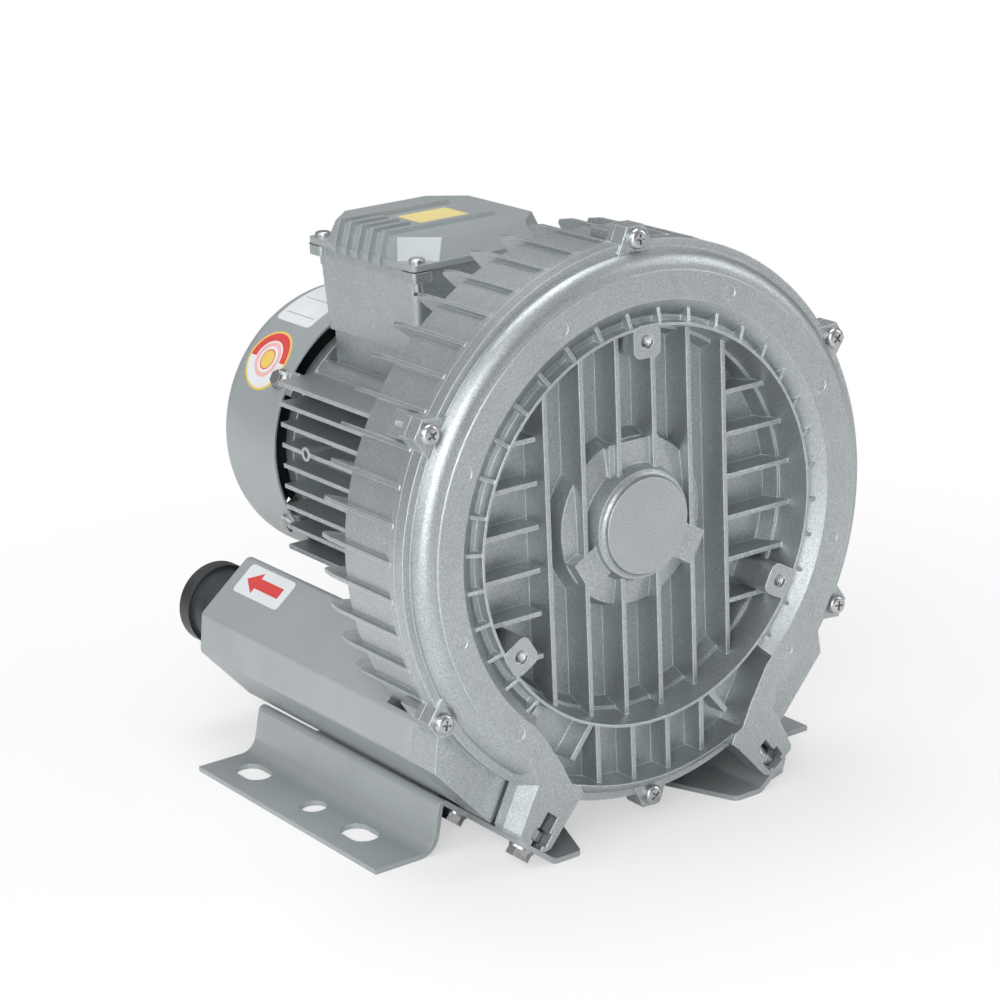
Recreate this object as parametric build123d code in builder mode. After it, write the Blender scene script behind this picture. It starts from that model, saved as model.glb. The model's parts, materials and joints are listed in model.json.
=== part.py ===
from build123d import *
import os
from math import cos, radians, sin, sqrt, tan

os.makedirs("parts", exist_ok=True)

# Side channel blower, in millimetres. X is to the right seen from the cover, Y runs back along the
# shaft to the motor, Z is up. The origin is on the floor, midway between the two round foot holes.
# A station d is an axial distance behind the cover's screw face, and a clock angle is measured from
# the top of the casing, clockwise seen from the cover.

# ---- main frame
cover_face_y = -116.0
floor_gap = 16.7

# ---- clearances
press_gap = 0.0
running_gap = 0.4
part_gap = 0.6
thread_gap = 0.25

# ---- front cover: flange, rounded shoulder, flat annulus, ribbed groove, inner ring and recess,
# given from the flange inward as radial widths, and as rises before and depths behind the screw face
flange_r = 130.5
flange_t = 6.6
flange_rim_w = 3.8
shoulder_w = 9.2
shoulder_crease = 0.6
annulus_w = 13.2
annulus_rise = 8.0
groove_w = 10.6
groove_slope_w = 7.9
groove_floor_rise = 1.3
ring_w = 3.9
ring_top_w = 1.3
ring_rise = 7.3
ring_step_depth = 9.2
ring_ledge = 1.4
ring_foot_w = 8.4
recess_depth = 16.5
cover_wall = 5.0
web_t = 4.0

# ---- groove ribs, recess fins and threaded bosses of the cover
groove_rib_count = 36
groove_rib_t = 1.7
groove_rib_rise = 6.6
groove_rib_slope = 3.0
fin_pitch = 20.25
fin_t = 3.4
fin_draft = 2.0
fin_front_depth = 2.0
cross_fin_t = 2.2
cross_fin_front_depth = 3.5
cross_fin_free_gap = 4.6
boss_inset = 7.2
boss_size = 15.0
boss_corner = 4.0
boss_thread_r = 3.4
boss_thread_depth = 18.0
boss_count = 3
ejector_r = 3.3
ejector_depth = 0.4
ejector_angles = [25.0, 65.0, 105.0, 135.0]

# ---- hub of the cover, with the blind seat of the front bearing
hub_r = 25.5
hub_rise = 4.0
hub_corner = 3.0
hub_foot_r = 28.0
hub_foot_depth = 6.0
hub_rim_r = 39.5
hub_rim_depth = 8.2
hub_base_r = 42.2
hub_cap_t = 5.0
hub_lug_r = 39.0
hub_lug_w = 17.5
hub_lug_depth = 1.5
top_lug_w = 29.0
top_lug_depth = 4.5

# ---- screw ears round the cover and the housing
screw_overhang = 1.5
ear_count = 6
ear_root_w = 22.0
ear_root_inset = 6.5
ear_tip_w = 9.5
ear_tip_margin = 5.6
ear_rise = 1.2
ear_block_depth = 17.0
ear_block_w = 14.0
ear_block_margin = 2.5
cover_screw_r = 2.5
cover_screw_head_r = 4.8
cover_screw_head_h = 3.4
cover_screw_length = 20.0

# ---- bottom pocket of the cover, in the sector that parts the inlet from the outlet. Its curved side
# wall is given as steps outside the annulus's inner edge and clock angles.
pocket_band_w = 9.1
pocket_depth = 9.0
pocket_wall = [(0.8, 139.0), (1.9, 142.4), (5.7, 146.9), (10.1, 151.1), (15.5, 154.5), (19.0, 157.0)]
pocket_fin_front_rise = 2.0
pocket_gusset = [(0.5, 159.0), (18.5, 156.0)]
cover_divider_angle = 43.0
divider_angle = 35.0

# ---- side channel and impeller
channel_rim_w = 7.7
channel_w = 25.8
channel_corner = 6.0
land_depth = 13.2
land_w = 3.5
impeller_ring_w = 20.8
impeller_tip_gap = 0.8
impeller_root_step = 1.5
impeller_web_t = 4.0
impeller_hub_r = 17.0
impeller_hub_w = 16.5
impeller_vane_count = 40
impeller_vane_t = 2.0

# ---- impeller housing
drum_inset = 2.0
housing_depth = 50.2
housing_wall = 4.0
housing_flange_t = 4.0
drum_fin_count = 48
drum_fin_t = 2.0
drum_fin_rise = 2.4
drum_fin_tip = 15.0
drum_fin_foot_w = 16.5
motor_face_r = 84.0
motor_face_step = 6.0
spigot_w = 5.0
spigot_depth = 3.0

# ---- bearings (17 x 40 x 12 mm, both ends), seal and shaft
bearing_bore_r = 8.5
bearing_outer_r = 20.0
bearing_w = 12.0
bearing_ring_t = 3.2
ball_r = 3.35
ball_gap = 0.03
ball_count = 8
wave_spring_t = 2.0
seal_outer_r = 17.5
seal_w = 7.0
shaft_collar_r = 11.0
shaft_core_r = 12.5
fan_seat_r = 7.0
key_w = 5.0
key_length = 13.0

# ---- motor
frame_length = 141.8
frame_flange_t = 6.0
frame_bore_r = 50.0
frame_wall = 5.0
frame_fin_pitch = 10.5
frame_fin_shift = -2.5
frame_fin_reach = 68.0
frame_fin_t = 2.2
frame_bolt_circle_r = 75.0
frame_pad_inset = 5.0
earth_boss_r = 3.6
earth_boss_inset = 22.0
earth_hole_r = 2.0
stator_front_gap = 31.8
stator_rear_gap = 34.0
stator_bore_r = 30.2
air_gap = 0.5
winding_length = 15.0
shield_r = 62.0
shield_t = 7.0
shield_screw_circle_r = 55.5
shield_boss_r = 6.5

# ---- fan and cowl
cowl_r = 70.0
cowl_t = 1.2
cowl_gap = 5.3
cowl_length = 55.7
cowl_corner = 13.0
cowl_screw_angle = 58.0
cowl_screw_inset = 6.5
cowl_screw_r = 2.0
cowl_screw_length = 9.0
cowl_washer_r = 5.5
cowl_washer_t = 1.0
cowl_head_flats = 7.2
cowl_head_h = 4.0
fan_r = 61.0
fan_gap = 23.0
fan_w = 20.0
fan_disc_inset = 3.0
fan_blade_count = 8

# ---- terminal box
box_inset = 41.5
box_flange_x = 87.0
box_flange_y = 92.0
box_flange_top = 104.3
box_flange_t = 5.0
box_body_x = 82.0
box_body_y = 85.0
box_corner = 5.0
box_draft = 4.0
box_wall = 3.0
box_column = 12.0
box_pad_height = 62.0
gasket_t = 0.6
lid_height = 13.1
lid_rib_pitch = 9.5
lid_rib_t = 3.0
lid_rib_rise = 2.4
lid_long_rib = 66.0
lid_short_rib = 24.0
lid_corner_cut = 14.0
lid_inset = 1.5
lid_draft_w = 3.0
lid_corner_h = 3.0
lid_screw_inset = 5.5
lid_screw_r = 2.0
lid_screw_grip = 10.0
lid_screw_head_r = 3.8
lid_screw_head_h = 2.4
gland_r = 10.0
gland_height = 83.0
gland_length = 16.0
gland_grip = 8.0
board_x = 48.0
board_y = 34.0
board_t = 6.0
board_fence_h = 7.0
stud_pitch = 14.0
stud_length = 17.0

# ---- silencers: six-sided casings under the motor, outlet on the left and inlet on the right
silencer_inset = 48.5
silencer_x = flange_r - silencer_inset
silencer_height = 62.7
silencer_start = 27.7
silencer_overhang = 16.0
silencer_wall = 2.2
silencer_corner = 4.0
silencer_offsets = [(0.0, 34.5), (29.0, 11.0), (31.5, -8.7), (3.0, -40.5), (-30.0, -13.5), (-33.0, 9.5)]
port_r = 16.0
liner_tube_t = 1.2
connector_r = 19.5
connector_rim_r = 21.5
connector_length = 37.0
connector_rim_w = 9.0
end_plate_t = 3.0

# ---- legs and foot brackets
foot_slope = 38.0
foot_bend_x = 60.6
foot_bolt_run = 14.6
foot_bolt_depth = 0.5
foot_bolt_pitch = 52.8
foot_bolt_r = 3.0
leg_inner_w = 7.4
leg_outer_w = 11.4
leg_flank_w = 16.0
rear_leg_outer_w = 7.4
rear_leg_w = 17.0
nut_flats = 10.0
nut_h = 5.0
nut_lift = 2.6
bolt_head_h = 4.0
bolt_length = 20.0
washer_r = 6.2
washer_t = 1.2
plate_t = 2.5
plate_lip_x = 29.6
plate_front_lip_x = 46.2
tongue_front = -7.5
tongue_outer_x = 79.2
plate_peak_x = 92.5
plate_wall_x = 98.0
plate_bends = [4.0, 3.0, 9.0]
plate_outer_x = 129.6
plate_half_length = 79.2
plate_corner = 9.0
tongue_corner = 4.0
foot_hole_x = 112.5
foot_hole_r = 6.5
foot_slot_w = 14.0
foot_slot_length = 22.0
foot_slot_front_y = -40.0
foot_slot_rear_y = 55.0

# ---- radii and stations worked out from the sizes above
axis_height = flange_r + floor_gap
shoulder_outer_r = flange_r - flange_rim_w
annulus_outer_r = shoulder_outer_r - shoulder_w
annulus_inner_r = annulus_outer_r - annulus_w
groove_floor_r = annulus_inner_r - groove_slope_w
ring_outer_r = annulus_inner_r - groove_w
ring_step_r = ring_outer_r - ring_w
recess_r = ring_outer_r - ring_foot_w
boss_circle_r = ring_outer_r - boss_inset
screw_circle_r = flange_r + screw_overhang
ear_root_r = flange_r - ear_root_inset
ear_tip_r = screw_circle_r + ear_tip_margin
ear_block_r = screw_circle_r + ear_block_margin
pocket_band_r = flange_r - pocket_band_w
channel_outer_r = flange_r - channel_rim_w
channel_inner_r = channel_outer_r - channel_w
impeller_root_r = channel_inner_r + impeller_root_step
drum_r = flange_r - drum_inset
drum_fin_foot_r = drum_r - drum_fin_foot_w
nut_corner_r = nut_flats / 2 / cos(radians(30))
cap_inner = hub_cap_t - hub_rise
front_bearing_start = cap_inner + wave_spring_t
web_back = recess_depth + web_t
impeller_front = land_depth + running_gap
impeller_centre = impeller_front + impeller_ring_w / 2
housing_land = impeller_front + impeller_ring_w + running_gap
impeller_hub_start = impeller_centre - impeller_web_t / 2 + 1.5
impeller_hub_end = impeller_hub_start + impeller_hub_w
impeller_r = channel_outer_r - impeller_tip_gap
motor_face = housing_depth + motor_face_step
frame_end_depth = motor_face + frame_length
stator_start = motor_face + stator_front_gap
stator_end = frame_end_depth - stator_rear_gap
stator_length = stator_end - stator_start
cowl_start = frame_end_depth + cowl_gap
cowl_end = cowl_start + cowl_length
fan_start = frame_end_depth + fan_gap
silencer_end = frame_end_depth + silencer_overhang
silencer_drop = axis_height - silencer_height
box_centre_depth = frame_end_depth - box_inset
spigot_r = frame_bore_r - press_gap
seal_start = impeller_hub_end + 6.0
rear_bearing_start = frame_end_depth + 2.0
shaft_end = fan_start + fan_w - 1.0
frame_r = frame_bore_r + frame_wall
box_top = axis_height + box_flange_top
lid_base = box_top + gasket_t
shaft_axis = Axis((0, cover_face_y, axis_height), (0, 1, 0))


def front(d):
    """Plane across the shaft at station d, drawn in X and Z about the axis, facing the cover side."""
    return Plane(origin=(0, cover_face_y + d, axis_height), x_dir=(1, 0, 0), z_dir=(0, -1, 0))


def radial(angle):
    """Plane through the shaft axis at a clock angle, drawn as (station, radius)."""
    a = radians(angle)
    return Plane(origin=(0, cover_face_y, axis_height), x_dir=(0, 1, 0), z_dir=(cos(a), 0, -sin(a)))


def clock(radius, angle):
    """Point of a front plane at a radius and clock angle."""
    return (radius * sin(radians(angle)), radius * cos(radians(angle)))


def wedge(half_angle, reach, middle=180.0):
    """Corners of a wide wedge from the axis, either side of a clock angle."""
    side = reach / cos(radians(half_angle))
    return [(0, 0), clock(side, middle - half_angle), clock(side, middle + half_angle)]


def foot_point(run, lift):
    """Point at a run up the foot bracket's slope and a lift off its top face, about the shaft axis."""
    a = radians(foot_slope)
    x = foot_bend_x + run * cos(a) - lift * sin(a)
    z = plate_t + run * sin(a) + lift * cos(a) - axis_height
    return (x, z)


def leg_foot(outer_w):
    """The four points of a leg's foot on the bracket's slope, from its inner to its outer edge."""
    return [
        foot_point(foot_bolt_run - leg_inner_w - 1.0, 3.0),
        foot_point(foot_bolt_run - leg_inner_w + 1.5, 0.0),
        foot_point(foot_bolt_run + outer_w - 1.5, 0.0),
        foot_point(foot_bolt_run + outer_w, 1.5),
    ]


def nut_slot():
    """Outline of the slot in a leg that holds the foot nut, with room for the bolt's end above it."""
    bolt_half = foot_bolt_r + part_gap - 0.2
    nut_half = nut_flats / 2 + part_gap - 0.2
    nut_low = nut_lift - 0.3
    nut_high = nut_lift + nut_h + 2 * part_gap
    bolt_high = bolt_length - plate_t - 0.5
    half = [(bolt_half, -1.0), (bolt_half, nut_low), (nut_half, nut_low), (nut_half, nut_high)]
    half += [(bolt_half, nut_high), (bolt_half, bolt_high)]
    right = [foot_point(foot_bolt_run + run, lift) for run, lift in half]
    left = [foot_point(foot_bolt_run - run, lift) for run, lift in reversed(half)]
    return right + left


def ear_outline(root_w, tip_w, tip_r):
    """Corners of a screw ear at the top of the casing."""
    return [(-root_w / 2, ear_root_r), (root_w / 2, ear_root_r), (tip_w / 2, tip_r), (-tip_w / 2, tip_r)]


def sided(points, side):
    """The same outline on the right (1) or the left (-1)."""
    return [(side * x, z) for x, z in points]


def foot_plane(side, d):
    """Plane on the foot bracket's top face at a bolt, with its normal up the bolt."""
    a = radians(foot_slope)
    x, z = foot_point(foot_bolt_run, 0)
    return Plane(
        origin=(side * x, cover_face_y + d, axis_height + z),
        x_dir=(0, 1, 0),
        z_dir=(-side * sin(a), 0, cos(a)),
    )


def silencer_outline(side):
    """Corners of a silencer's six-sided section about the shaft axis."""
    return sided([(silencer_x + x, z - silencer_drop) for x, z in silencer_offsets], side)


foot_bolt_depths = [foot_bolt_depth, foot_bolt_depth + foot_bolt_pitch]
foot_places = [foot_plane(side, d) for side in (-1, 1) for d in foot_bolt_depths]
ear_angles = [360.0 / ear_count * k for k in range(ear_count)]
boss_angles = [360.0 / boss_count * k for k in range(boss_count)]
fin_offsets = [fin_pitch * (k + 0.5) for k in range(-3, 3)]
pocket_fin_offsets = [fin_pitch * (k + 0.5) for k in range(-2, 2)]
ear_turns = [Location((0, 0, 0), (0, 0, -a)) for a in ear_angles]

# ==== front cover
with BuildPart() as front_cover:
    with BuildSketch(radial(0)):
        with BuildLine():
            rim = (shoulder_crease - annulus_rise, annulus_outer_r)
            shoulder = (0.0, shoulder_outer_r)
            half_turn = radians(45)
            bulge = (rim[0] * sin(half_turn), annulus_outer_r + shoulder_w * cos(half_turn))
            ThreePointArc(rim, bulge, shoulder)
            Polyline(
                shoulder,
                (0.0, flange_r),
                (flange_t, flange_r),
                (flange_t, channel_outer_r),
                (cover_wall - annulus_rise + channel_corner, channel_outer_r),
                (cover_wall - annulus_rise, channel_outer_r - channel_corner),
                (cover_wall - annulus_rise, channel_inner_r + channel_corner),
                (cover_wall - annulus_rise + channel_corner + 2.0, channel_inner_r),
                (land_depth, channel_inner_r),
                (land_depth, channel_inner_r - land_w),
                (web_back, recess_r + web_t),
                (web_back, bearing_outer_r),
                (cap_inner, bearing_outer_r),
                (cap_inner, 0.0),
                (-hub_rise, 0.0),
                (-hub_rise, hub_r - hub_corner),
            )
            RadiusArc((-hub_rise, hub_r - hub_corner), (hub_corner - hub_rise, hub_r), -hub_corner)
            Polyline(
                (hub_corner - hub_rise, hub_r),
                (hub_foot_depth, hub_foot_r),
                (hub_rim_depth, hub_rim_r),
                (recess_depth, hub_base_r),
                (recess_depth, recess_r),
                (ring_step_depth, ring_step_r - ring_ledge),
                (ring_step_depth, ring_step_r),
                (-ring_rise, ring_outer_r - ring_top_w),
                (-ring_rise, ring_outer_r),
                (-groove_floor_rise, ring_outer_r),
                (-groove_floor_rise, groove_floor_r),
                (-annulus_rise, annulus_inner_r),
                (-annulus_rise, annulus_outer_r),
                rim,
            )
        make_face()
    revolve(axis=shaft_axis)
    # The channel is closed between the two legs by a dividing block.
    divider_steps = (
        (flange_r - 1.0, flange_t, flange_t - 1.0),
        (channel_outer_r - part_gap, land_depth, land_depth + annulus_rise - cover_wall + 1.0),
    )
    for outer_r, back, length in divider_steps:
        with BuildSketch(front(back)):
            Circle(outer_r)
            Circle(channel_inner_r - 1.0, mode=Mode.SUBTRACT)
            Polygon(*wedge(cover_divider_angle, 2 * flange_r), align=None, mode=Mode.INTERSECT)
        extrude(amount=length)
    # Two legs carry on the flat annulus down to the foot brackets, with a sloping outer flank.
    leg_inner_edge = [
        clock(annulus_inner_r + 1.0, 139.0),
        clock(annulus_inner_r + 14.0, 156.5),
        clock(channel_outer_r + 2.4, 159.5),
        clock(flange_r - 1.1, 158.5),
    ]
    leg_face = [*leg_inner_edge, *leg_foot(leg_outer_w)]
    leg_face += [clock(flange_r - 4.1, 147.0), clock(annulus_outer_r + 0.9, 142.2)]
    leg_root = [*leg_inner_edge, *leg_foot(leg_flank_w), clock(flange_r, 145.0), clock(flange_r - 4.0, 141.0)]
    for side in (-1, 1):
        with BuildSketch(front(flange_t)):
            Polygon(*sided(leg_root, side), align=None)
        extrude(amount=flange_t)
        with BuildSketch(front(0.0)):
            Polygon(*sided(leg_root, side), align=None)
        with BuildSketch(front(-annulus_rise)):
            Polygon(*sided(leg_face, side), align=None)
        loft(ruled=True)
    # The pocket between the legs leaves a band of the flange at the bottom.
    pocket_side = [clock(annulus_inner_r + step, angle) for step, angle in pocket_wall]
    with BuildSketch(front(pocket_depth)):
        with BuildLine():
            Line((0, 0), pocket_side[0])
            Spline(*pocket_side)
            Line(pocket_side[-1], (0, -flange_r))
            mirror(about=Plane.YZ)
        make_face()
        Circle(pocket_band_r, mode=Mode.INTERSECT)
        Circle(ring_outer_r, mode=Mode.SUBTRACT)
    extrude(amount=pocket_depth + annulus_rise + 2.0, mode=Mode.SUBTRACT)
    with BuildSketch(front(pocket_depth + 0.5)):
        for x in pocket_fin_offsets:
            top = sqrt((ring_outer_r - 1.0) ** 2 - x**2)
            low = sqrt((pocket_band_r + 1.0) ** 2 - x**2)
            with Locations((x, -(top + low) / 2)):
                Rectangle(fin_t, low - top)
    extrude(amount=pocket_depth + 0.5 + pocket_fin_front_rise, taper=fin_draft)
    for side in (-1, 1):
        gusset = sided([clock(ring_outer_r + step, angle) for step, angle in pocket_gusset], side)
        inner, outer = (Vector(*point) for point in gusset)
        half = (outer - inner).normalized().rotate(Axis.Z, 90) * (fin_t / 2)
        with BuildSketch(front(pocket_depth + 0.5)):
            Polygon(inner + half, outer + half, outer - half, inner - half, align=None)
        extrude(amount=pocket_depth + 0.5 + pocket_fin_front_rise, taper=fin_draft)
    # Small gussets stiffen the groove outside the inner ring, but for the sector of the pocket.
    rib_angles = [360.0 / groove_rib_count * (k + 0.5) for k in range(groove_rib_count)]
    rib_angles = [a for a in rib_angles if abs(a - 180) > 180 - pocket_wall[0][1]]
    with BuildSketch(*[radial(a) for a in rib_angles]):
        Polygon(
            (-groove_rib_rise, ring_outer_r - 0.5),
            (-groove_rib_rise, ring_outer_r + 1.0),
            (groove_rib_slope - groove_rib_rise, annulus_inner_r - 1.0),
            (-groove_floor_rise + 1.0, groove_floor_r),
            (-groove_floor_rise + 1.0, ring_outer_r - 0.5),
            align=None,
        )
    extrude(amount=groove_rib_t / 2, both=True)
    # Round ejector marks on the flat annulus.
    with BuildSketch(front(-annulus_rise)):
        middle_r = annulus_outer_r - annulus_w / 2
        with Locations(*[clock(middle_r, side * a) for a in ejector_angles for side in (-1, 1)]):
            Circle(ejector_r)
    extrude(amount=-ejector_depth, mode=Mode.SUBTRACT)
    # Upright fins cross the recess, with short cross fins at both sides.
    with BuildSketch(front(recess_depth + 0.5)):
        for x in fin_offsets:
            half_length = sqrt((ring_outer_r - 1.8) ** 2 - x**2)
            with Locations((x, 0)):
                Rectangle(fin_t, 2 * half_length)
    extrude(amount=recess_depth + 0.5 - fin_front_depth, taper=fin_draft)
    with BuildSketch(front(recess_depth + 0.5)):
        for z in fin_offsets:
            reach = sqrt((ring_outer_r - 1.8) ** 2 - z**2)
            outer_fin = fin_offsets[-1]
            free_end = outer_fin + cross_fin_free_gap
            with Locations(((outer_fin + reach) / 2, z)):
                Rectangle(reach - outer_fin, cross_fin_t)
            with Locations((-(free_end + reach) / 2, z)):
                Rectangle(reach - free_end, cross_fin_t)
    extrude(amount=recess_depth + 0.5 - cross_fin_front_depth)
    # Three lugs stand round the hub, the one at the top wider and lower.
    for a in boss_angles:
        lug_w, lug_depth = (top_lug_w, top_lug_depth) if a == 0 else (hub_lug_w, hub_lug_depth)
        with BuildSketch(front(recess_depth + 0.5)):
            with Locations(Location((*clock(hub_lug_r / 2, a), 0), (0, 0, -a))):
                Rectangle(lug_w, hub_lug_r)
        extrude(amount=recess_depth + 0.5 - lug_depth, taper=fin_draft)
    with BuildSketch(front(web_back)):
        Circle(bearing_outer_r)
    extrude(amount=web_back - cap_inner, mode=Mode.SUBTRACT)
    # Three threaded bosses stand inside the ring, flush with its rim.
    with BuildSketch(front(recess_depth + 0.5)):
        with Locations(*[Location((*clock(boss_circle_r, a), 0), (0, 0, -a)) for a in boss_angles]):
            RectangleRounded(boss_size, boss_size, boss_corner)
    extrude(amount=recess_depth + 0.5 + ring_rise)
    with BuildSketch(front(-ring_rise)):
        with Locations(*[clock(boss_circle_r, a) for a in boss_angles]):
            Circle(boss_thread_r)
    extrude(amount=-boss_thread_depth, mode=Mode.SUBTRACT)
    # Screw ears on the flange.
    with BuildSketch(front(flange_t)):
        with Locations(*ear_turns):
            Polygon(*ear_outline(ear_root_w, ear_tip_w, ear_tip_r), align=None)
    extrude(amount=flange_t + ear_rise)
    with BuildSketch(front(-ear_rise - 1.0)):
        with Locations(*[clock(screw_circle_r, a) for a in ear_angles]):
            Circle(cover_screw_r + thread_gap)
    extrude(amount=-(flange_t + ear_rise + 2.0), mode=Mode.SUBTRACT)
    # Each leg has a slot, open at its front and its end, that holds the foot nut.
    for side in (-1, 1):
        with BuildSketch(front(foot_bolt_depth + nut_corner_r + part_gap)):
            Polygon(*sided(nut_slot(), side), align=None)
        extrude(amount=40.0, mode=Mode.SUBTRACT)
front_cover.part.label = "front_cover"
export_step(front_cover.part, "parts/front_cover.step")

# ==== cover screws: pan heads with a cross recess, one in each ear
with BuildPart() as cover_screws:
    with BuildSketch(front(-ear_rise)):
        with Locations(*[clock(screw_circle_r, a) for a in ear_angles]):
            Circle(cover_screw_head_r)
    extrude(amount=cover_screw_head_h)
    fillet(cover_screws.faces().filter_by(Axis.Y).group_by(Axis.Y)[0].edges(), cover_screw_head_h * 0.6)
    with BuildSketch(front(-ear_rise)):
        with Locations(*[clock(screw_circle_r, a) for a in ear_angles]):
            Circle(cover_screw_r)
    extrude(amount=-cover_screw_length)
    with BuildSketch(front(-ear_rise - cover_screw_head_h)):
        with Locations(*[Location((*clock(screw_circle_r, a), 0), (0, 0, a * 0.7)) for a in ear_angles]):
            Rectangle(cover_screw_head_r, 1.0)
            Rectangle(1.0, cover_screw_head_r)
    extrude(amount=-cover_screw_head_h * 0.6, mode=Mode.SUBTRACT)
cover_screws.part.label = "cover_screws"
export_step(cover_screws.part, "parts/cover_screws.step")

# ==== impeller housing: drum, rear side channel, back wall, silencer chambers and rear legs
drum_fin_angles = [360.0 / drum_fin_count * (k + 0.5) for k in range(drum_fin_count)]
drum_fin_angles = [a for a in drum_fin_angles if min(a, 360 - a) < 120 or abs(180 - a) < 22]
with BuildPart() as impeller_housing:
    with BuildSketch(radial(0)):
        Polygon(
            (flange_t, channel_outer_r),
            (flange_t, flange_r),
            (flange_t + housing_flange_t, flange_r),
            (flange_t + housing_flange_t, drum_r),
            (housing_depth - 2.0, drum_r),
            (housing_depth, drum_r - 2.0),
            (housing_depth, motor_face_r + 3.5),
            (motor_face, motor_face_r),
            (motor_face, spigot_r),
            (motor_face + spigot_depth, spigot_r),
            (motor_face + spigot_depth, spigot_r - spigot_w),
            (seal_start + 1.0, spigot_r - spigot_w),
            (seal_start + 1.0, seal_outer_r + 5.0),
            (seal_start + seal_w, seal_outer_r + 5.0),
            (seal_start + seal_w, seal_outer_r),
            (seal_start, seal_outer_r),
            (seal_start, shaft_collar_r + part_gap),
            (impeller_hub_end + part_gap, shaft_collar_r + part_gap),
            (impeller_hub_end + part_gap, impeller_hub_r + part_gap),
            (housing_land, impeller_hub_r + part_gap),
            (housing_land, channel_inner_r),
            (housing_land + 4.0, channel_inner_r),
            (housing_depth - housing_wall, channel_inner_r + channel_corner),
            (housing_depth - housing_wall, channel_outer_r - channel_corner),
            (housing_depth - housing_wall - channel_corner, channel_outer_r),
            align=None,
        )
    revolve(axis=shaft_axis)
    with BuildSketch(front(housing_depth - 1.0)):
        Circle(channel_outer_r + 1.0)
        Circle(channel_inner_r - 1.0, mode=Mode.SUBTRACT)
        Polygon(*wedge(divider_angle, 2 * flange_r), align=None, mode=Mode.INTERSECT)
    extrude(amount=housing_depth - 1.0 - housing_land)
    with BuildSketch(*[radial(a) for a in drum_fin_angles]):
        Polygon(
            (flange_t + 2.0, drum_r - 1.5),
            (flange_t + 2.0, drum_r + drum_fin_rise),
            (housing_depth + drum_fin_tip * 0.45, drum_r + drum_fin_rise),
            (housing_depth + drum_fin_tip, drum_r + drum_fin_rise - 1.5),
            (housing_depth + drum_fin_tip + 0.6, drum_r + drum_fin_rise - 3.5),
            (housing_depth - 1.0, drum_fin_foot_r),
            (housing_depth - 1.0, drum_r - 1.5),
            align=None,
        )
    extrude(amount=drum_fin_t / 2, both=True)
    # Each silencer is fed through a cast chamber outside the drum and a port in the back wall.
    for side in (-1, 1):
        with BuildSketch(front(silencer_start)):
            Polygon(*silencer_outline(side), align=None)
            Circle(drum_r - 2.0, mode=Mode.SUBTRACT)
        extrude(amount=silencer_start - flange_t - 1.5)
        with BuildSketch(front(housing_depth + 1.0)):
            with Locations((side * silencer_x, -silencer_drop)):
                Circle(port_r)
        extrude(amount=housing_wall + 4.0, mode=Mode.SUBTRACT)
        with BuildSketch(front(foot_bolt_depth + foot_bolt_pitch + rear_leg_w / 2)):
            Polygon(
                *sided(
                    [
                        clock(drum_r - 4.0, 162.0),
                        clock(drum_r + 0.5, 160.8),
                        *leg_foot(rear_leg_outer_w),
                        foot_point(foot_bolt_run + rear_leg_outer_w, 5.0),
                        clock(drum_r - 2.0, 153.5),
                    ],
                    side,
                ),
                align=None,
            )
            Circle(channel_outer_r + 1.5, mode=Mode.SUBTRACT)
        extrude(amount=rear_leg_w)
        with BuildSketch(front(foot_bolt_depth + foot_bolt_pitch - nut_corner_r - part_gap)):
            Polygon(*sided(nut_slot(), side), align=None)
        extrude(amount=-40.0, mode=Mode.SUBTRACT)
    with BuildSketch(front(flange_t + housing_flange_t)):
        with Locations(*ear_turns):
            Polygon(*ear_outline(ear_root_w, ear_tip_w, ear_tip_r), align=None)
    extrude(amount=housing_flange_t)
    with BuildSketch(front(flange_t + ear_block_depth)):
        with Locations(*ear_turns):
            Polygon(*ear_outline(ear_block_w, ear_block_w - 2.0, ear_block_r), align=None)
    extrude(amount=ear_block_depth)
    with BuildSketch(front(flange_t)):
        with Locations(*[clock(screw_circle_r, a) for a in ear_angles]):
            Circle(cover_screw_r)
    extrude(amount=-(cover_screw_length - flange_t), mode=Mode.SUBTRACT)
    with BuildSketch(front(motor_face)):
        with Locations(*[clock(frame_bolt_circle_r, a) for a in (45, 135, 225, 315)]):
            Circle(2.5)
    extrude(amount=12.0, mode=Mode.SUBTRACT)
impeller_housing.part.label = "impeller_housing"
export_step(impeller_housing.part, "parts/impeller_housing.step")

# ==== impeller: a hub, a thin web and a rim with vanes on both sides
with BuildPart() as impeller:
    vane_core = impeller_web_t / 2
    with BuildSketch(radial(0)):
        Polygon(
            (impeller_hub_start, bearing_bore_r),
            (impeller_hub_start, impeller_hub_r),
            (impeller_centre - vane_core, impeller_hub_r + 8.0),
            (impeller_centre - vane_core, impeller_root_r - land_w - 2.0),
            (impeller_front, impeller_root_r - land_w),
            (impeller_front, impeller_root_r),
            (impeller_centre - 4.0, impeller_root_r + 3.0),
            (impeller_centre - 0.8, impeller_r),
            (impeller_centre + 0.8, impeller_r),
            (impeller_centre + 4.0, impeller_root_r + 3.0),
            (impeller_front + impeller_ring_w, impeller_root_r),
            (impeller_front + impeller_ring_w, impeller_root_r - land_w),
            (impeller_centre + vane_core, impeller_root_r - land_w - 2.0),
            (impeller_centre + vane_core, impeller_hub_r + 8.0),
            (housing_land - 1.0, impeller_hub_r),
            (impeller_hub_end, impeller_hub_r),
            (impeller_hub_end, bearing_bore_r),
            align=None,
        )
    revolve(axis=shaft_axis)
    with BuildSketch(front(impeller_front + impeller_ring_w)):
        with PolarLocations((impeller_r + impeller_root_r) / 2, impeller_vane_count):
            Rectangle(impeller_r - impeller_root_r - 1.0, impeller_vane_t)
    extrude(amount=impeller_ring_w)
    with BuildSketch(front(impeller_hub_end)):
        with Locations((0, bearing_bore_r)):
            Rectangle(key_w, key_w)
    extrude(amount=impeller_hub_w, mode=Mode.SUBTRACT)
impeller.part.label = "impeller"
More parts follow.
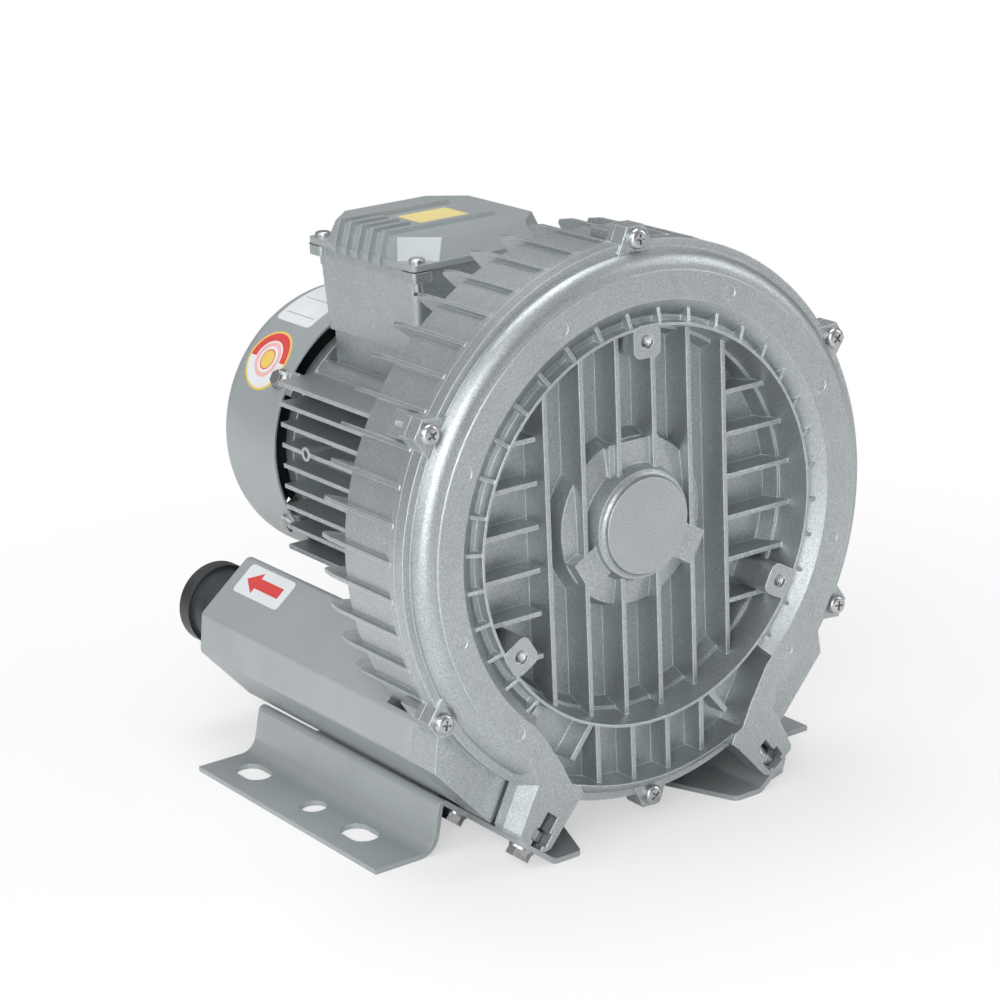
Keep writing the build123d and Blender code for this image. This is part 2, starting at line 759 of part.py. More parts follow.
export_step(impeller.part, "parts/impeller.step")

# ==== shaft, impeller key and the spacer that holds the impeller against the shaft collar
key_start = impeller_hub_end - key_length
with BuildPart() as shaft:
    with BuildSketch(radial(0)):
        Polygon(
            (cap_inner + 0.8, 0.0),
            (cap_inner + 0.8, bearing_bore_r - 0.8),
            (cap_inner + 1.6, bearing_bore_r),
            (impeller_hub_end, bearing_bore_r),
            (impeller_hub_end, shaft_collar_r),
            (stator_start - 12.0, shaft_collar_r),
            (stator_start - 12.0, shaft_core_r),
            (stator_end + 12.0, shaft_core_r),
            (stator_end + 12.0, shaft_collar_r),
            (rear_bearing_start, shaft_collar_r),
            (rear_bearing_start, bearing_bore_r),
            (rear_bearing_start + bearing_w + 1.0, bearing_bore_r),
            (rear_bearing_start + bearing_w + 1.0, fan_seat_r),
            (shaft_end, fan_seat_r),
            (shaft_end, 0.0),
            align=None,
        )
    revolve(axis=shaft_axis)
    with BuildSketch(front(impeller_hub_end)):
        with Locations((0, bearing_bore_r)):
            Rectangle(key_w, key_w)
    extrude(amount=key_length, mode=Mode.SUBTRACT)
shaft.part.label = "shaft"
export_step(shaft.part, "parts/shaft.step")

with BuildPart() as impeller_key:
    with BuildSketch(front(impeller_hub_end)):
        with Locations((0, bearing_bore_r)):
            Rectangle(key_w, key_w)
    extrude(amount=key_length)
impeller_key.part.label = "impeller_key"
export_step(impeller_key.part, "parts/impeller_key.step")

with BuildPart() as impeller_spacer:
    with BuildSketch(front(impeller_hub_start)):
        Circle(bearing_bore_r + 3.0)
        Circle(bearing_bore_r, mode=Mode.SUBTRACT)
    extrude(amount=impeller_hub_start - front_bearing_start - bearing_w)
impeller_spacer.part.label = "impeller_spacer"
export_step(impeller_spacer.part, "parts/impeller_spacer.step")

# ==== bearings: an outer ring, an inner ring and a set of balls at each end of the shaft
pitch_r = (bearing_bore_r + bearing_outer_r) / 2


def bearing_ring(inner_r, outer_r, start):
    """Bearing ring with a rounded race for the balls."""
    with BuildPart() as ring:
        with BuildSketch(radial(0)):
            with Locations((start + bearing_w / 2, (inner_r + outer_r) / 2)):
                Rectangle(bearing_w, outer_r - inner_r)
            with Locations((start + bearing_w / 2, pitch_r)):
                Circle(ball_r + ball_gap, mode=Mode.SUBTRACT)
        revolve(axis=shaft_axis)
    return ring.part


def ball_set(start):
    """The balls of one bearing, spaced evenly round the pitch circle."""
    with BuildPart() as balls:
        middle = front(start + bearing_w / 2)
        turns = [360.0 / ball_count * k for k in range(ball_count)]
        with Locations(*[middle.from_local_coords((*clock(pitch_r, a), 0)) for a in turns]):
            Sphere(ball_r)
    return balls.part


for end, start in (("front", front_bearing_start), ("rear", rear_bearing_start)):
    outer_ring = bearing_ring(bearing_outer_r - bearing_ring_t, bearing_outer_r, start)
    outer_ring.label = f"{end}_bearing_outer_ring"
    export_step(outer_ring, f"parts/{end}_bearing_outer_ring.step")
    inner_ring = bearing_ring(bearing_bore_r, bearing_bore_r + bearing_ring_t, start)
    inner_ring.label = f"{end}_bearing_inner_ring"
    export_step(inner_ring, f"parts/{end}_bearing_inner_ring.step")
    balls = ball_set(start)
    balls.label = f"{end}_bearing_balls"
    export_step(balls, f"parts/{end}_bearing_balls.step")

with BuildPart() as bearing_spring:
    with BuildSketch(front(front_bearing_start)):
        Circle(bearing_outer_r - part_gap)
        Circle(bearing_outer_r - bearing_ring_t - 1.0, mode=Mode.SUBTRACT)
    extrude(amount=wave_spring_t)
bearing_spring.part.label = "bearing_spring"
export_step(bearing_spring.part, "parts/bearing_spring.step")

with BuildPart() as shaft_seal:
    with BuildSketch(radial(0)):
        Polygon(
            (seal_start, seal_outer_r),
            (seal_start + seal_w, seal_outer_r),
            (seal_start + seal_w, seal_outer_r - 1.5),
            (seal_start + 2.0, seal_outer_r - 1.5),
            (seal_start + seal_w - 2.0, shaft_collar_r + 0.05),
            (seal_start + seal_w - 3.0, shaft_collar_r + 0.05),
            (seal_start, shaft_collar_r + 1.6),
            align=None,
        )
    revolve(axis=shaft_axis)
shaft_seal.part.label = "shaft_seal"
export_step(shaft_seal.part, "parts/shaft_seal.step")

# ==== motor frame: finned tube with a flange, a pad for the terminal box and four screw bosses
side_fin_heights = [frame_fin_shift + frame_fin_pitch * k for k in range(-4, 5)]
under_fin_offsets = [frame_fin_pitch * k for k in range(-3, 4)]
quarter_angles = [45.0, 135.0, 225.0, 315.0]
earth_fin_z = side_fin_heights[5]
earth_boss_y = cover_face_y + frame_end_depth - earth_boss_inset
with BuildPart() as motor_frame:
    with BuildSketch(radial(0)):
        Polygon(
            (motor_face, spigot_r),
            (motor_face, motor_face_r),
            (motor_face + frame_flange_t, motor_face_r),
            (motor_face + frame_flange_t, frame_r),
            (frame_end_depth, frame_r),
            (frame_end_depth, spigot_r),
            align=None,
        )
    revolve(axis=shaft_axis)
    with BuildSketch(front(frame_end_depth)):
        for z in side_fin_heights:
            root = sqrt((frame_bore_r + 1.5) ** 2 - z**2)
            with Locations(((root + frame_fin_reach) / 2, z), (-(root + frame_fin_reach) / 2, z)):
                Rectangle(frame_fin_reach - root, frame_fin_t)
        for x in under_fin_offsets:
            root = sqrt((frame_bore_r + 1.5) ** 2 - x**2)
            with Locations((x, -(root + frame_fin_reach) / 2)):
                Rectangle(frame_fin_t, frame_fin_reach - root)
    extrude(amount=frame_end_depth - motor_face - frame_flange_t)
    with BuildSketch(front(frame_end_depth)):
        with Locations(*[clock(shield_screw_circle_r, a) for a in quarter_angles]):
            Circle(shield_boss_r)
        Circle(frame_bore_r + 1.0, mode=Mode.SUBTRACT)
    extrude(amount=frame_end_depth - motor_face - frame_flange_t)
    with BuildSketch(front(frame_end_depth)):
        with Locations(*[clock(shield_screw_circle_r, a) for a in quarter_angles]):
            Circle(2.0)
    extrude(amount=16.0, mode=Mode.SUBTRACT)
    with BuildSketch(front(motor_face + frame_flange_t)):
        with Locations(*[clock(frame_bolt_circle_r, a) for a in quarter_angles]):
            Circle(3.0 + thread_gap)
    extrude(amount=frame_flange_t, mode=Mode.SUBTRACT)
    with BuildSketch(Plane.XY.offset(axis_height + frame_bore_r - 14.0)):
        with Locations((0, cover_face_y + box_centre_depth)):
            Rectangle(box_body_x - 2 * frame_pad_inset, box_body_y - 2 * frame_pad_inset)
    extrude(amount=box_pad_height - frame_bore_r + 14.0)
    # A boss for the earth screw stands on the left fins.
    earth_plane = Plane(
        origin=(-frame_fin_reach - 0.5, earth_boss_y, axis_height + earth_fin_z),
        z_dir=(-1, 0, 0),
    )
    with BuildSketch(earth_plane):
        Circle(earth_boss_r)
    extrude(amount=-(frame_fin_reach - frame_bore_r - 1.0))
    with BuildSketch(earth_plane):
        Circle(earth_hole_r)
    extrude(amount=-10.0, mode=Mode.SUBTRACT)
    with BuildSketch(front(frame_end_depth)):
        Circle(spigot_r)
    extrude(amount=frame_end_depth - motor_face, mode=Mode.SUBTRACT)
motor_frame.part.label = "motor_frame"
export_step(motor_frame.part, "parts/motor_frame.step")

with BuildPart() as frame_bolts:
    with BuildSketch(front(motor_face + frame_flange_t)):
        with Locations(*[clock(frame_bolt_circle_r, a) for a in quarter_angles]):
            RegularPolygon(nut_flats / 2, 6, major_radius=False)
    extrude(amount=-bolt_head_h)
    with BuildSketch(front(motor_face + frame_flange_t)):
        with Locations(*[clock(frame_bolt_circle_r, a) for a in quarter_angles]):
            Circle(2.5)
    extrude(amount=frame_flange_t + 10.0)
frame_bolts.part.label = "frame_bolts"
export_step(frame_bolts.part, "parts/frame_bolts.step")

# ==== stator, windings and rotor core
with BuildPart() as stator_core:
    with BuildSketch(front(stator_end)):
        Circle(frame_bore_r - press_gap)
        Circle(stator_bore_r, mode=Mode.SUBTRACT)
    extrude(amount=stator_length)
stator_core.part.label = "stator_core"
export_step(stator_core.part, "parts/stator_core.step")

with BuildPart() as stator_windings:
    for start in (stator_start - winding_length, stator_end):
        with BuildSketch(radial(0)):
            with Locations((start + winding_length / 2, (stator_bore_r + frame_bore_r) / 2)):
                RectangleRounded(winding_length, frame_bore_r - stator_bore_r - 5.0, 4.0)
        revolve(axis=shaft_axis)
stator_windings.part.label = "stator_windings"
export_step(stator_windings.part, "parts/stator_windings.step")

with BuildPart() as rotor_core:
    with BuildSketch(front(stator_end + 6.0)):
        Circle(stator_bore_r - air_gap)
        Circle(shaft_core_r, mode=Mode.SUBTRACT)
    extrude(amount=stator_length + 12.0)
rotor_core.part.label = "rotor_core"
export_step(rotor_core.part, "parts/rotor_core.step")

# ==== rear end shield, with the rear bearing seat and four lugs for the cowl
cowl_lug_angles = [cowl_screw_angle, 180 - cowl_screw_angle, 180 + cowl_screw_angle, 360 - cowl_screw_angle]
cowl_inner_r = cowl_r - cowl_t
shield_back = frame_end_depth + shield_t
cowl_screw_depth = cowl_start + cowl_screw_inset


def cowl_seat(angle):
    """Plane on the cowl's outside under a cowl screw's head."""
    a = radians(angle)
    origin = front(cowl_screw_depth).from_local_coords((*clock(cowl_r, angle), 0))
    return Plane(origin=origin, z_dir=(sin(a), 0, cos(a)))


with BuildPart() as rear_end_shield:
    with BuildSketch(radial(0)):
        Polygon(
            (frame_end_depth - spigot_depth, spigot_r),
            (frame_end_depth, spigot_r),
            (frame_end_depth, shield_r),
            (shield_back, shield_r),
            (shield_back, bearing_outer_r + 10.0),
            (rear_bearing_start + bearing_w + 2.0, bearing_outer_r + 6.0),
            (rear_bearing_start + bearing_w + 2.0, bearing_bore_r + 1.5),
            (rear_bearing_start + bearing_w, bearing_bore_r + 1.5),
            (rear_bearing_start + bearing_w, bearing_outer_r),
            (frame_end_depth, bearing_outer_r),
            (frame_end_depth, spigot_r - spigot_w),
            (frame_end_depth - spigot_depth, spigot_r - spigot_w),
            align=None,
        )
    revolve(axis=shaft_axis)
    with BuildSketch(front(cowl_screw_depth + 6.0)):
        with Locations(*[Location((0, 0, 0), (0, 0, -a)) for a in cowl_lug_angles]):
            with Locations((0, (shield_r - 6.0 + cowl_inner_r) / 2)):
                Rectangle(12.0, cowl_inner_r - shield_r + 6.0)
        Circle(cowl_inner_r, mode=Mode.INTERSECT)
    extrude(amount=cowl_screw_depth + 6.0 - frame_end_depth - 1.0)
    with BuildSketch(front(shield_back)):
        with Locations(*[clock(shield_screw_circle_r, a) for a in quarter_angles]):
            Circle(2.0 + thread_gap)
    extrude(amount=shield_t, mode=Mode.SUBTRACT)
    with BuildSketch(*[cowl_seat(a) for a in cowl_lug_angles]):
        Circle(cowl_screw_r)
    extrude(amount=-cowl_screw_length, mode=Mode.SUBTRACT)
rear_end_shield.part.label = "rear_end_shield"
export_step(rear_end_shield.part, "parts/rear_end_shield.step")

with BuildPart() as end_shield_screws:
    with BuildSketch(front(shield_back)):
        with Locations(*[clock(shield_screw_circle_r, a) for a in quarter_angles]):
            Circle(4.0)
    extrude(amount=-3.0)
    with BuildSketch(front(shield_back)):
        with Locations(*[clock(shield_screw_circle_r, a) for a in quarter_angles]):
            Circle(2.0)
    extrude(amount=shield_t + 14.0)
end_shield_screws.part.label = "end_shield_screws"
export_step(end_shield_screws.part, "parts/end_shield_screws.step")

# ==== cooling fan, its retaining ring, the cowl and its screws
with BuildPart() as cooling_fan:
    with BuildSketch(radial(0)):
        Polygon(
            (fan_start, fan_seat_r),
            (fan_start, 14.0),
            (fan_start + 2.0, 30.0),
            (fan_start + 2.0, fan_r - fan_disc_inset),
            (fan_start + 4.5, fan_r - fan_disc_inset),
            (fan_start + 4.5, 16.0),
            (fan_start + fan_w - 4.0, 13.0),
            (fan_start + fan_w - 4.0, fan_seat_r),
            align=None,
        )
    revolve(axis=shaft_axis)
    with BuildSketch(front(fan_start + fan_w)):
        with PolarLocations((fan_r + 13.0) / 2, fan_blade_count):
            Rectangle(fan_r - 13.0, 2.4)
    extrude(amount=fan_w - 2.0)
    with BuildSketch(front(fan_start + fan_w)):
        Circle(fan_seat_r)
    extrude(amount=fan_w, mode=Mode.SUBTRACT)
    with BuildSketch(front(fan_start + fan_w)):
        Circle(13.0)
    extrude(amount=4.0, mode=Mode.SUBTRACT)
cooling_fan.part.label = "cooling_fan"
export_step(cooling_fan.part, "parts/cooling_fan.step")

with BuildPart() as fan_clip:
    with BuildSketch(front(fan_start + fan_w - 2.6)):
        Circle(fan_seat_r + 3.0)
        Circle(fan_seat_r, mode=Mode.SUBTRACT)
        with Locations((0, fan_seat_r + 2.0)):
            Rectangle(4.0, 6.0, mode=Mode.SUBTRACT)
    extrude(amount=1.2)
fan_clip.part.label = "fan_clip"
export_step(fan_clip.part, "parts/fan_clip.step")

with BuildPart() as fan_cowl:
    with BuildSketch(radial(0)):
        with BuildLine():
            outer_bend = (cowl_end - cowl_corner, cowl_r)
            outer_flat = (cowl_end, cowl_r - cowl_corner)
            inner_bend = (cowl_end - cowl_corner, cowl_inner_r)
            inner_flat = (cowl_end - cowl_t, cowl_r - cowl_corner)
            Polyline(inner_bend, (cowl_start, cowl_inner_r), (cowl_start, cowl_r), outer_bend)
            RadiusArc(outer_bend, outer_flat, cowl_corner)
            Polyline(outer_flat, (cowl_end, 0), (cowl_end - cowl_t, 0), inner_flat)
            RadiusArc(inner_flat, inner_bend, -(cowl_corner - cowl_t))
        make_face()
    revolve(axis=shaft_axis)
    with BuildSketch(front(cowl_end)):
        for radius, count in ((20.0, 8), (31.0, 14), (42.0, 20), (52.0, 26)):
            with PolarLocations(radius, count):
                Rectangle(6.5, 4.2)
    extrude(amount=cowl_t, mode=Mode.SUBTRACT)
    with BuildSketch(*[cowl_seat(a) for a in cowl_lug_angles]):
        Circle(cowl_screw_r + thread_gap)
    extrude(amount=-2 * cowl_t, both=True, mode=Mode.SUBTRACT)
fan_cowl.part.label = "fan_cowl"
export_step(fan_cowl.part, "parts/fan_cowl.step")

with BuildPart() as cowl_screws:
    for a in cowl_lug_angles:
        with BuildSketch(cowl_seat(a)):
            Circle(cowl_washer_r)
        extrude(amount=cowl_washer_t)
        with BuildSketch(cowl_seat(a)):
            RegularPolygon(cowl_head_flats / 2, 6, major_radius=False)
        extrude(amount=cowl_head_h)
        with BuildSketch(cowl_seat(a)):
            Circle(cowl_screw_r)
        extrude(amount=-cowl_screw_length)
cowl_screws.part.label = "cowl_screws"
export_step(cowl_screws.part, "parts/cowl_screws.step")

# ==== terminal box on top of the motor: box, gasket, ribbed lid, screws, board, studs and gland
box_y = cover_face_y + box_centre_depth
box_floor = axis_height + box_pad_height
box_height = box_flange_top - box_pad_height
box_inside_size = (box_body_x - 2 * box_wall, box_body_y - 2 * box_wall)
lid_screw_places = [
    (sx * (box_flange_x / 2 - lid_screw_inset), sy * (box_flange_y / 2 - lid_screw_inset))
    for sx in (-1, 1)
    for sy in (-1, 1)
]
with BuildPart() as terminal_box:
    with BuildSketch(Plane.XY.offset(box_top - box_flange_t)):
        with Locations((0, box_y)):
            RectangleRounded(box_body_x, box_body_y, box_corner)
    extrude(amount=-(box_height - box_flange_t), taper=box_draft)
    with BuildSketch(Plane.XY.offset(box_top - box_flange_t)):
        with Locations((0, box_y)):
            RectangleRounded(box_body_x, box_body_y, box_corner)
            with Locations(*lid_screw_places):
                RectangleRounded(2 * lid_screw_inset, 2 * lid_screw_inset, lid_screw_r)
    extrude(amount=box_flange_t)
    with BuildSketch(Plane.XY.offset(box_top)) as box_inside:
        with Locations((0, box_y)):
            Rectangle(*box_inside_size)
        chamfer(box_inside.vertices(), box_column)
    extrude(amount=-(box_height - box_wall), taper=box_draft, mode=Mode.SUBTRACT)
    with BuildSketch(Plane.XY.offset(box_top)):
        with Locations(*[(x, box_y + y) for x, y in lid_screw_places]):
            Circle(lid_screw_r)
    extrude(amount=-lid_screw_grip - 2.0, mode=Mode.SUBTRACT)
    with BuildSketch(Plane(origin=(box_body_x / 2 + 5.0, box_y, axis_height + gland_height), z_dir=(1, 0, 0))):
        Circle(gland_r)
    extrude(amount=-20.0, mode=Mode.SUBTRACT)
    with BuildSketch(Plane.XY.offset(box_floor)):
        with Locations((0, box_y)):
            Circle(gland_r + 2.0)
    extrude(amount=box_wall, mode=Mode.SUBTRACT)
terminal_box.part.label = "terminal_box"
export_step(terminal_box.part, "parts/terminal_box.step")

with BuildPart() as terminal_gasket:
    with BuildSketch(Plane.XY.offset(box_top)):
        with Locations((0, box_y)):
            RectangleRounded(box_body_x, box_body_y, box_corner)
            with Locations(*lid_screw_places):
                RectangleRounded(2 * lid_screw_inset, 2 * lid_screw_inset, lid_screw_r)
        with BuildSketch(mode=Mode.SUBTRACT) as gasket_inside:
            with Locations((0, box_y)):
                Rectangle(*box_inside_size)
            chamfer(gasket_inside.vertices(), box_column)
        with Locations(*[(x, box_y + y) for x, y in lid_screw_places]):
            Circle(lid_screw_r + part_gap, mode=Mode.SUBTRACT)
    extrude(amount=gasket_t)
terminal_gasket.part.label = "terminal_gasket"
export_step(terminal_gasket.part, "parts/terminal_gasket.step")

with BuildPart() as terminal_lid:
    with BuildSketch(Plane.XY.offset(lid_base)):
        with Locations((0, box_y)):
            RectangleRounded(box_flange_x, box_flange_y, 3.0)
    extrude(amount=lid_corner_h)
    with BuildSketch(Plane.XY.offset(lid_base + lid_corner_h)) as lid_foot:
        with Locations((0, box_y)):
            Rectangle(box_flange_x - 2 * lid_inset, box_flange_y - 2 * lid_inset)
        chamfer(lid_foot.vertices(), lid_corner_cut)
    with BuildSketch(Plane.XY.offset(lid_base + lid_height)) as lid_top:
        with Locations((0, box_y)):
            Rectangle(*[w - 2 * lid_inset - 2 * lid_draft_w for w in (box_flange_x, box_flange_y)])
        chamfer(lid_top.vertices(), lid_corner_cut + 1.0)
    loft()
    # Ribs run across the top and wrap down the left side: the outer two are long, the others short.
    for k in range(-2, 3):
        reach = lid_long_rib if abs(k) == 2 else lid_short_rib
        with BuildSketch(Plane.XZ.offset(-(box_y + k * lid_rib_pitch + lid_rib_t / 2))):
            Polygon(
                (-box_flange_x / 2 - lid_rib_rise, lid_base),
                (-box_flange_x / 2 - lid_rib_rise, lid_base + lid_corner_h),
                (-box_flange_x / 2 + 1.5, lid_base + lid_height + lid_rib_rise),
                (-box_flange_x / 2 + reach - 2.0, lid_base + lid_height + lid_rib_rise),
                (-box_flange_x / 2 + reach, lid_base + lid_height - 0.5),
                (-box_flange_x / 2 + 6.0, lid_base + lid_height - 2.0),
                (-box_flange_x / 2 + 6.0, lid_base),
                align=None,
            )
        extrude(amount=lid_rib_t)
    with BuildSketch(Plane.XY.offset(lid_base)) as lid_inside:
        with Locations((0, box_y)):
            Rectangle(*[w - 2.0 for w in box_inside_size])
        chamfer(lid_inside.vertices(), lid_corner_cut + 2.0)
    extrude(amount=lid_height - box_wall, mode=Mode.SUBTRACT)
    with BuildSketch(Plane.XY.offset(lid_base)):
        with Locations(*[(x, box_y + y) for x, y in lid_screw_places]):
            Circle(lid_screw_r + thread_gap)
    extrude(amount=lid_corner_h, mode=Mode.SUBTRACT)
terminal_lid.part.label = "terminal_lid"
export_step(terminal_lid.part, "parts/terminal_lid.step")

with BuildPart() as lid_screws:
    with BuildSketch(Plane.XY.offset(lid_base + lid_corner_h)):
        with Locations(*[(x, box_y + y) for x, y in lid_screw_places]):
            Circle(lid_screw_head_r)
    extrude(amount=lid_screw_head_h)
    fillet(lid_screws.faces().filter_by(Axis.Z).group_by(Axis.Z)[-1].edges(), lid_screw_head_h / 2)
    with BuildSketch(Plane.XY.offset(lid_base + lid_corner_h)):
        with Locations(*[(x, box_y + y) for x, y in lid_screw_places]):
            Circle(lid_screw_r)
    extrude(amount=-(lid_corner_h + gasket_t + lid_screw_grip))
lid_screws.part.label = "lid_screws"
export_step(lid_screws.part, "parts/lid_screws.step")

board_z = box_floor + box_wall
board_centre_y = box_y - stud_pitch
stud_places = [(k * stud_pitch, box_y - stud_pitch + s * stud_pitch / 2) for k in (-1, 0, 1) for s in (-1, 1)]
with BuildPart() as terminal_board:
    with BuildSketch(Plane.XY.offset(board_z)):
        with Locations((0, board_centre_y)):
            RectangleRounded(board_x, board_y, 3.0)
    extrude(amount=board_t)
    with BuildSketch(Plane.XY.offset(board_z + board_t)):
        with Locations((0, board_centre_y)):
            Rectangle(board_x - 4.0, 2.0)
        with Locations((-stud_pitch / 2, board_centre_y), (stud_pitch / 2, board_centre_y)):
            Rectangle(2.0, board_y - 6.0)
    extrude(amount=board_fence_h)
    with BuildSketch(Plane.XY.offset(board_z)):
        with Locations(*stud_places):
            Circle(lid_screw_r)
    extrude(amount=board_t, mode=Mode.SUBTRACT)
terminal_board.part.label = "terminal_board"
export_step(terminal_board.part, "parts/terminal_board.step")

with BuildPart() as terminal_studs:
    with BuildSketch(Plane.XY.offset(board_z)):
        with Locations(*stud_places):
            Circle(lid_screw_r)
    extrude(amount=stud_length)
    with BuildSketch(Plane.XY.offset(board_z + board_t)):
        with Locations(*stud_places):
            RegularPolygon(lid_screw_r + 1.5, 6, major_radius=False)
    extrude(amount=lid_screw_r + 1.2)
terminal_studs.part.label = "terminal_studs"
export_step(terminal_studs.part, "parts/terminal_studs.step")

gland_wall_x = box_body_x / 2 - (box_flange_top - box_flange_t - gland_height) * tan(radians(box_draft))
gland_plane = Plane(origin=(gland_wall_x, box_y, axis_height + gland_height), z_dir=(1, 0, 0))
with BuildPart() as cable_gland:
    with BuildSketch(gland_plane.offset(-gland_grip)):
        Circle(gland_r - 0.1)
    extrude(amount=gland_grip + 4.0)
    with BuildSketch(gland_plane.offset(0.6 + tan(radians(box_draft)) * gland_r * 1.3)):
        RegularPolygon(gland_r + 2.0, 6, major_radius=False)
    extrude(amount=6.0)
    with BuildSketch(gland_plane.offset(6.0)):
        Circle(gland_r - 1.0)
    extrude(amount=10.0)
    with BuildSketch(gland_plane.offset(gland_length)):
        Circle(gland_r * 0.62)
    extrude(amount=-gland_length - gland_grip, mode=Mode.SUBTRACT)
cable_gland.part.label = "cable_gland"
export_step(cable_gland.part, "parts/cable_gland.step")

gland_cap_start = 0.6 + tan(radians(box_draft)) * gland_r * 1.3 + 6.2
with BuildPart() as gland_nut:
    with BuildSketch(gland_plane.offset(gland_cap_start)):
        RegularPolygon(gland_r + 1.4, 6, major_radius=False)
    extrude(amount=8.0)
    with BuildSketch(gland_plane.offset(gland_cap_start + 8.0)):
        Circle(gland_r + 1.0)
    extrude(amount=6.0, taper=22)
    with BuildSketch(gland_plane.offset(gland_cap_start)):
        Circle(gland_r - 1.0)
    extrude(amount=gland_length - gland_cap_start, mode=Mode.SUBTRACT)
    with BuildSketch(gland_plane.offset(gland_cap_start + 14.0)):
        Circle(gland_r * 0.62)
    extrude(amount=-14.0, mode=Mode.SUBTRACT)
gland_nut.part.label = "gland_nut"
export_step(gland_nut.part, "parts/gland_nut.step")


# ==== silencers: a casing, an end plate, a perforated tube, foam and a threaded connector
def silencer_parts(side):
    """The five pieces of the silencer on one side, in order from the outside in."""
    inner_start = housing_depth + part_gap + silencer_wall
    port = (side * silencer_x, -silencer_drop)
    with BuildPart() as casing:
        with BuildSketch(front(silencer_end)) as outline:
            Polygon(*silencer_outline(side), align=None)
            fillet(outline.vertices(), silencer_corner)
        extrude(amount=silencer_end - silencer_start)
        with BuildSketch(front(silencer_end)) as inside:
            Polygon(*silencer_outline(side), align=None)
            fillet(inside.vertices(), silencer_corner)
            offset(amount=-silencer_wall)
        extrude(amount=silencer_end - inner_start, mode=Mode.SUBTRACT)
        with BuildSketch(front(inner_start)):
            with Locations(port):
                Circle(port_r + liner_tube_t)
        extrude(amount=silencer_wall + 1.0, mode=Mode.SUBTRACT)
        with BuildSketch(front(housing_depth + part_gap)):
            Circle(drum_r + drum_fin_rise + part_gap)
        extrude(amount=housing_depth, mode=Mode.SUBTRACT)
    with BuildPart() as end_plate:
        with BuildSketch(front(silencer_end)) as plate:
            Polygon(*silencer_outline(side), align=None)
            fillet(plate.vertices(), silencer_corner)
            offset(amount=-silencer_wall)
            with Locations(port):
                Circle(connector_r, mode=Mode.SUBTRACT)
        extrude(amount=end_plate_t)
    with BuildPart() as tube:
        with BuildSketch(front(silencer_end - end_plate_t - 4.0)):
            with Locations(port):
                Circle(port_r + liner_tube_t)
                Circle(port_r, mode=Mode.SUBTRACT)
        extrude(amount=silencer_end - end_plate_t - 4.0 - housing_depth - part_gap)
    with BuildPart() as foam:
        with BuildSketch(front(silencer_end - end_plate_t - 5.0)) as block:
            Polygon(*silencer_outline(side), align=None)
            fillet(block.vertices(), silencer_corner)
            offset(amount=-silencer_wall - part_gap)
            with Locations(port):
                Circle(port_r + liner_tube_t + part_gap, mode=Mode.SUBTRACT)
        extrude(amount=silencer_end - end_plate_t - 5.0 - inner_start - part_gap)
    with BuildPart() as connector:
        rear = silencer_end + connector_length
        with BuildSketch(front(rear)):
            with Locations(port):
                Circle(connector_rim_r)
        extrude(amount=connector_rim_w)
        with BuildSketch(front(rear - connector_rim_w)):
            with Locations(port):
                Circle(connector_r)
        extrude(amount=connector_length - connector_rim_w + end_plate_t)
        with BuildSketch(front(silencer_end + 4.0)):
            with Locations(port):
                Circle(connector_rim_r)
        extrude(amount=4.0)
        with BuildSketch(front(rear)):
            with Locations(port):
                Circle(port_r)
        extrude(amount=connector_length + end_plate_t, mode=Mode.SUBTRACT)
    return casing.part, end_plate.part, tube.part, foam.part, connector.part


silencer_names = ("silencer", "silencer_end_plate", "silencer_tube", "silencer_foam", "connector")
for flow, side in (("outlet", -1), ("inlet", 1)):
    for piece_name, piece in zip(silencer_names, silencer_parts(side)):
        piece.label = f"{flow}_{piece_name}"
        export_step(piece, f"parts/{flow}_{piece_name}.step")


# ==== foot brackets: bent sheet with a flat lip, a slope under the bolts, a ridge and a slotted base
def foot_bracket(side):
    """The bent sheet bracket on one side."""
    rise = tan(radians(foot_slope))
    peak_z = plate_t + (plate_peak_x - foot_bend_x) * rise
    front_y = cover_face_y + tongue_front
    back_y = plate_half_length
    shoulder_y = -plate_half_length
    with BuildPart() as bracket:
        with BuildSketch(Plane.XZ.offset(-back_y)):
            with BuildLine():
                FilletPolyline(
                    *sided(
                        [
                            (plate_lip_x, plate_t),
                            (foot_bend_x, plate_t),
                            (plate_peak_x, peak_z),
                            (plate_wall_x, plate_t),
                            (plate_outer_x, plate_t),
                        ],
                        side,
                    ),
                    radius=plate_bends,
                )
                offset(amount=plate_t, side=Side.RIGHT if side > 0 else Side.LEFT)
            make_face()
        extrude(amount=back_y - front_y)
        with BuildSketch(Plane.XY) as plan:
            with BuildLine():
                Polyline(
                    *[
                        (side * x, y)
                        for x, y in [
                            (plate_front_lip_x, front_y),
                            (tongue_outer_x, front_y),
                            (tongue_outer_x, shoulder_y),
                            (plate_outer_x, shoulder_y),
                            (plate_outer_x, back_y),
                            (plate_lip_x, back_y),
                            (plate_lip_x, shoulder_y),
                        ]
                    ],
                    close=True,
                )
            make_face()
            by_x = plan.vertices().group_by(Axis.X)
            base_corners = by_x[0 if side < 0 else -1]
            tongue_corners = [v for v in plan.vertices() if abs(v.Y - front_y) < 0.1]
            fillet(tongue_corners, tongue_corner)
            fillet(base_corners, plate_corner)
        extrude(amount=3 * peak_z, mode=Mode.INTERSECT)
        with BuildSketch(Plane.XY.offset(plate_t)):
            with Locations((side * foot_hole_x, 0)):
                Circle(foot_hole_r)
            with Locations(
                (side * foot_hole_x, foot_slot_front_y),
                (side * foot_hole_x, foot_slot_rear_y),
            ):
                SlotOverall(foot_slot_length, foot_slot_w, rotation=90)
        extrude(amount=-plate_t, mode=Mode.SUBTRACT)
        with BuildSketch(*[foot_plane(side, d) for d in foot_bolt_depths]):
            Circle(foot_bolt_r + thread_gap)
        extrude(amount=-2 * plate_t, mode=Mode.SUBTRACT)
    return bracket.part


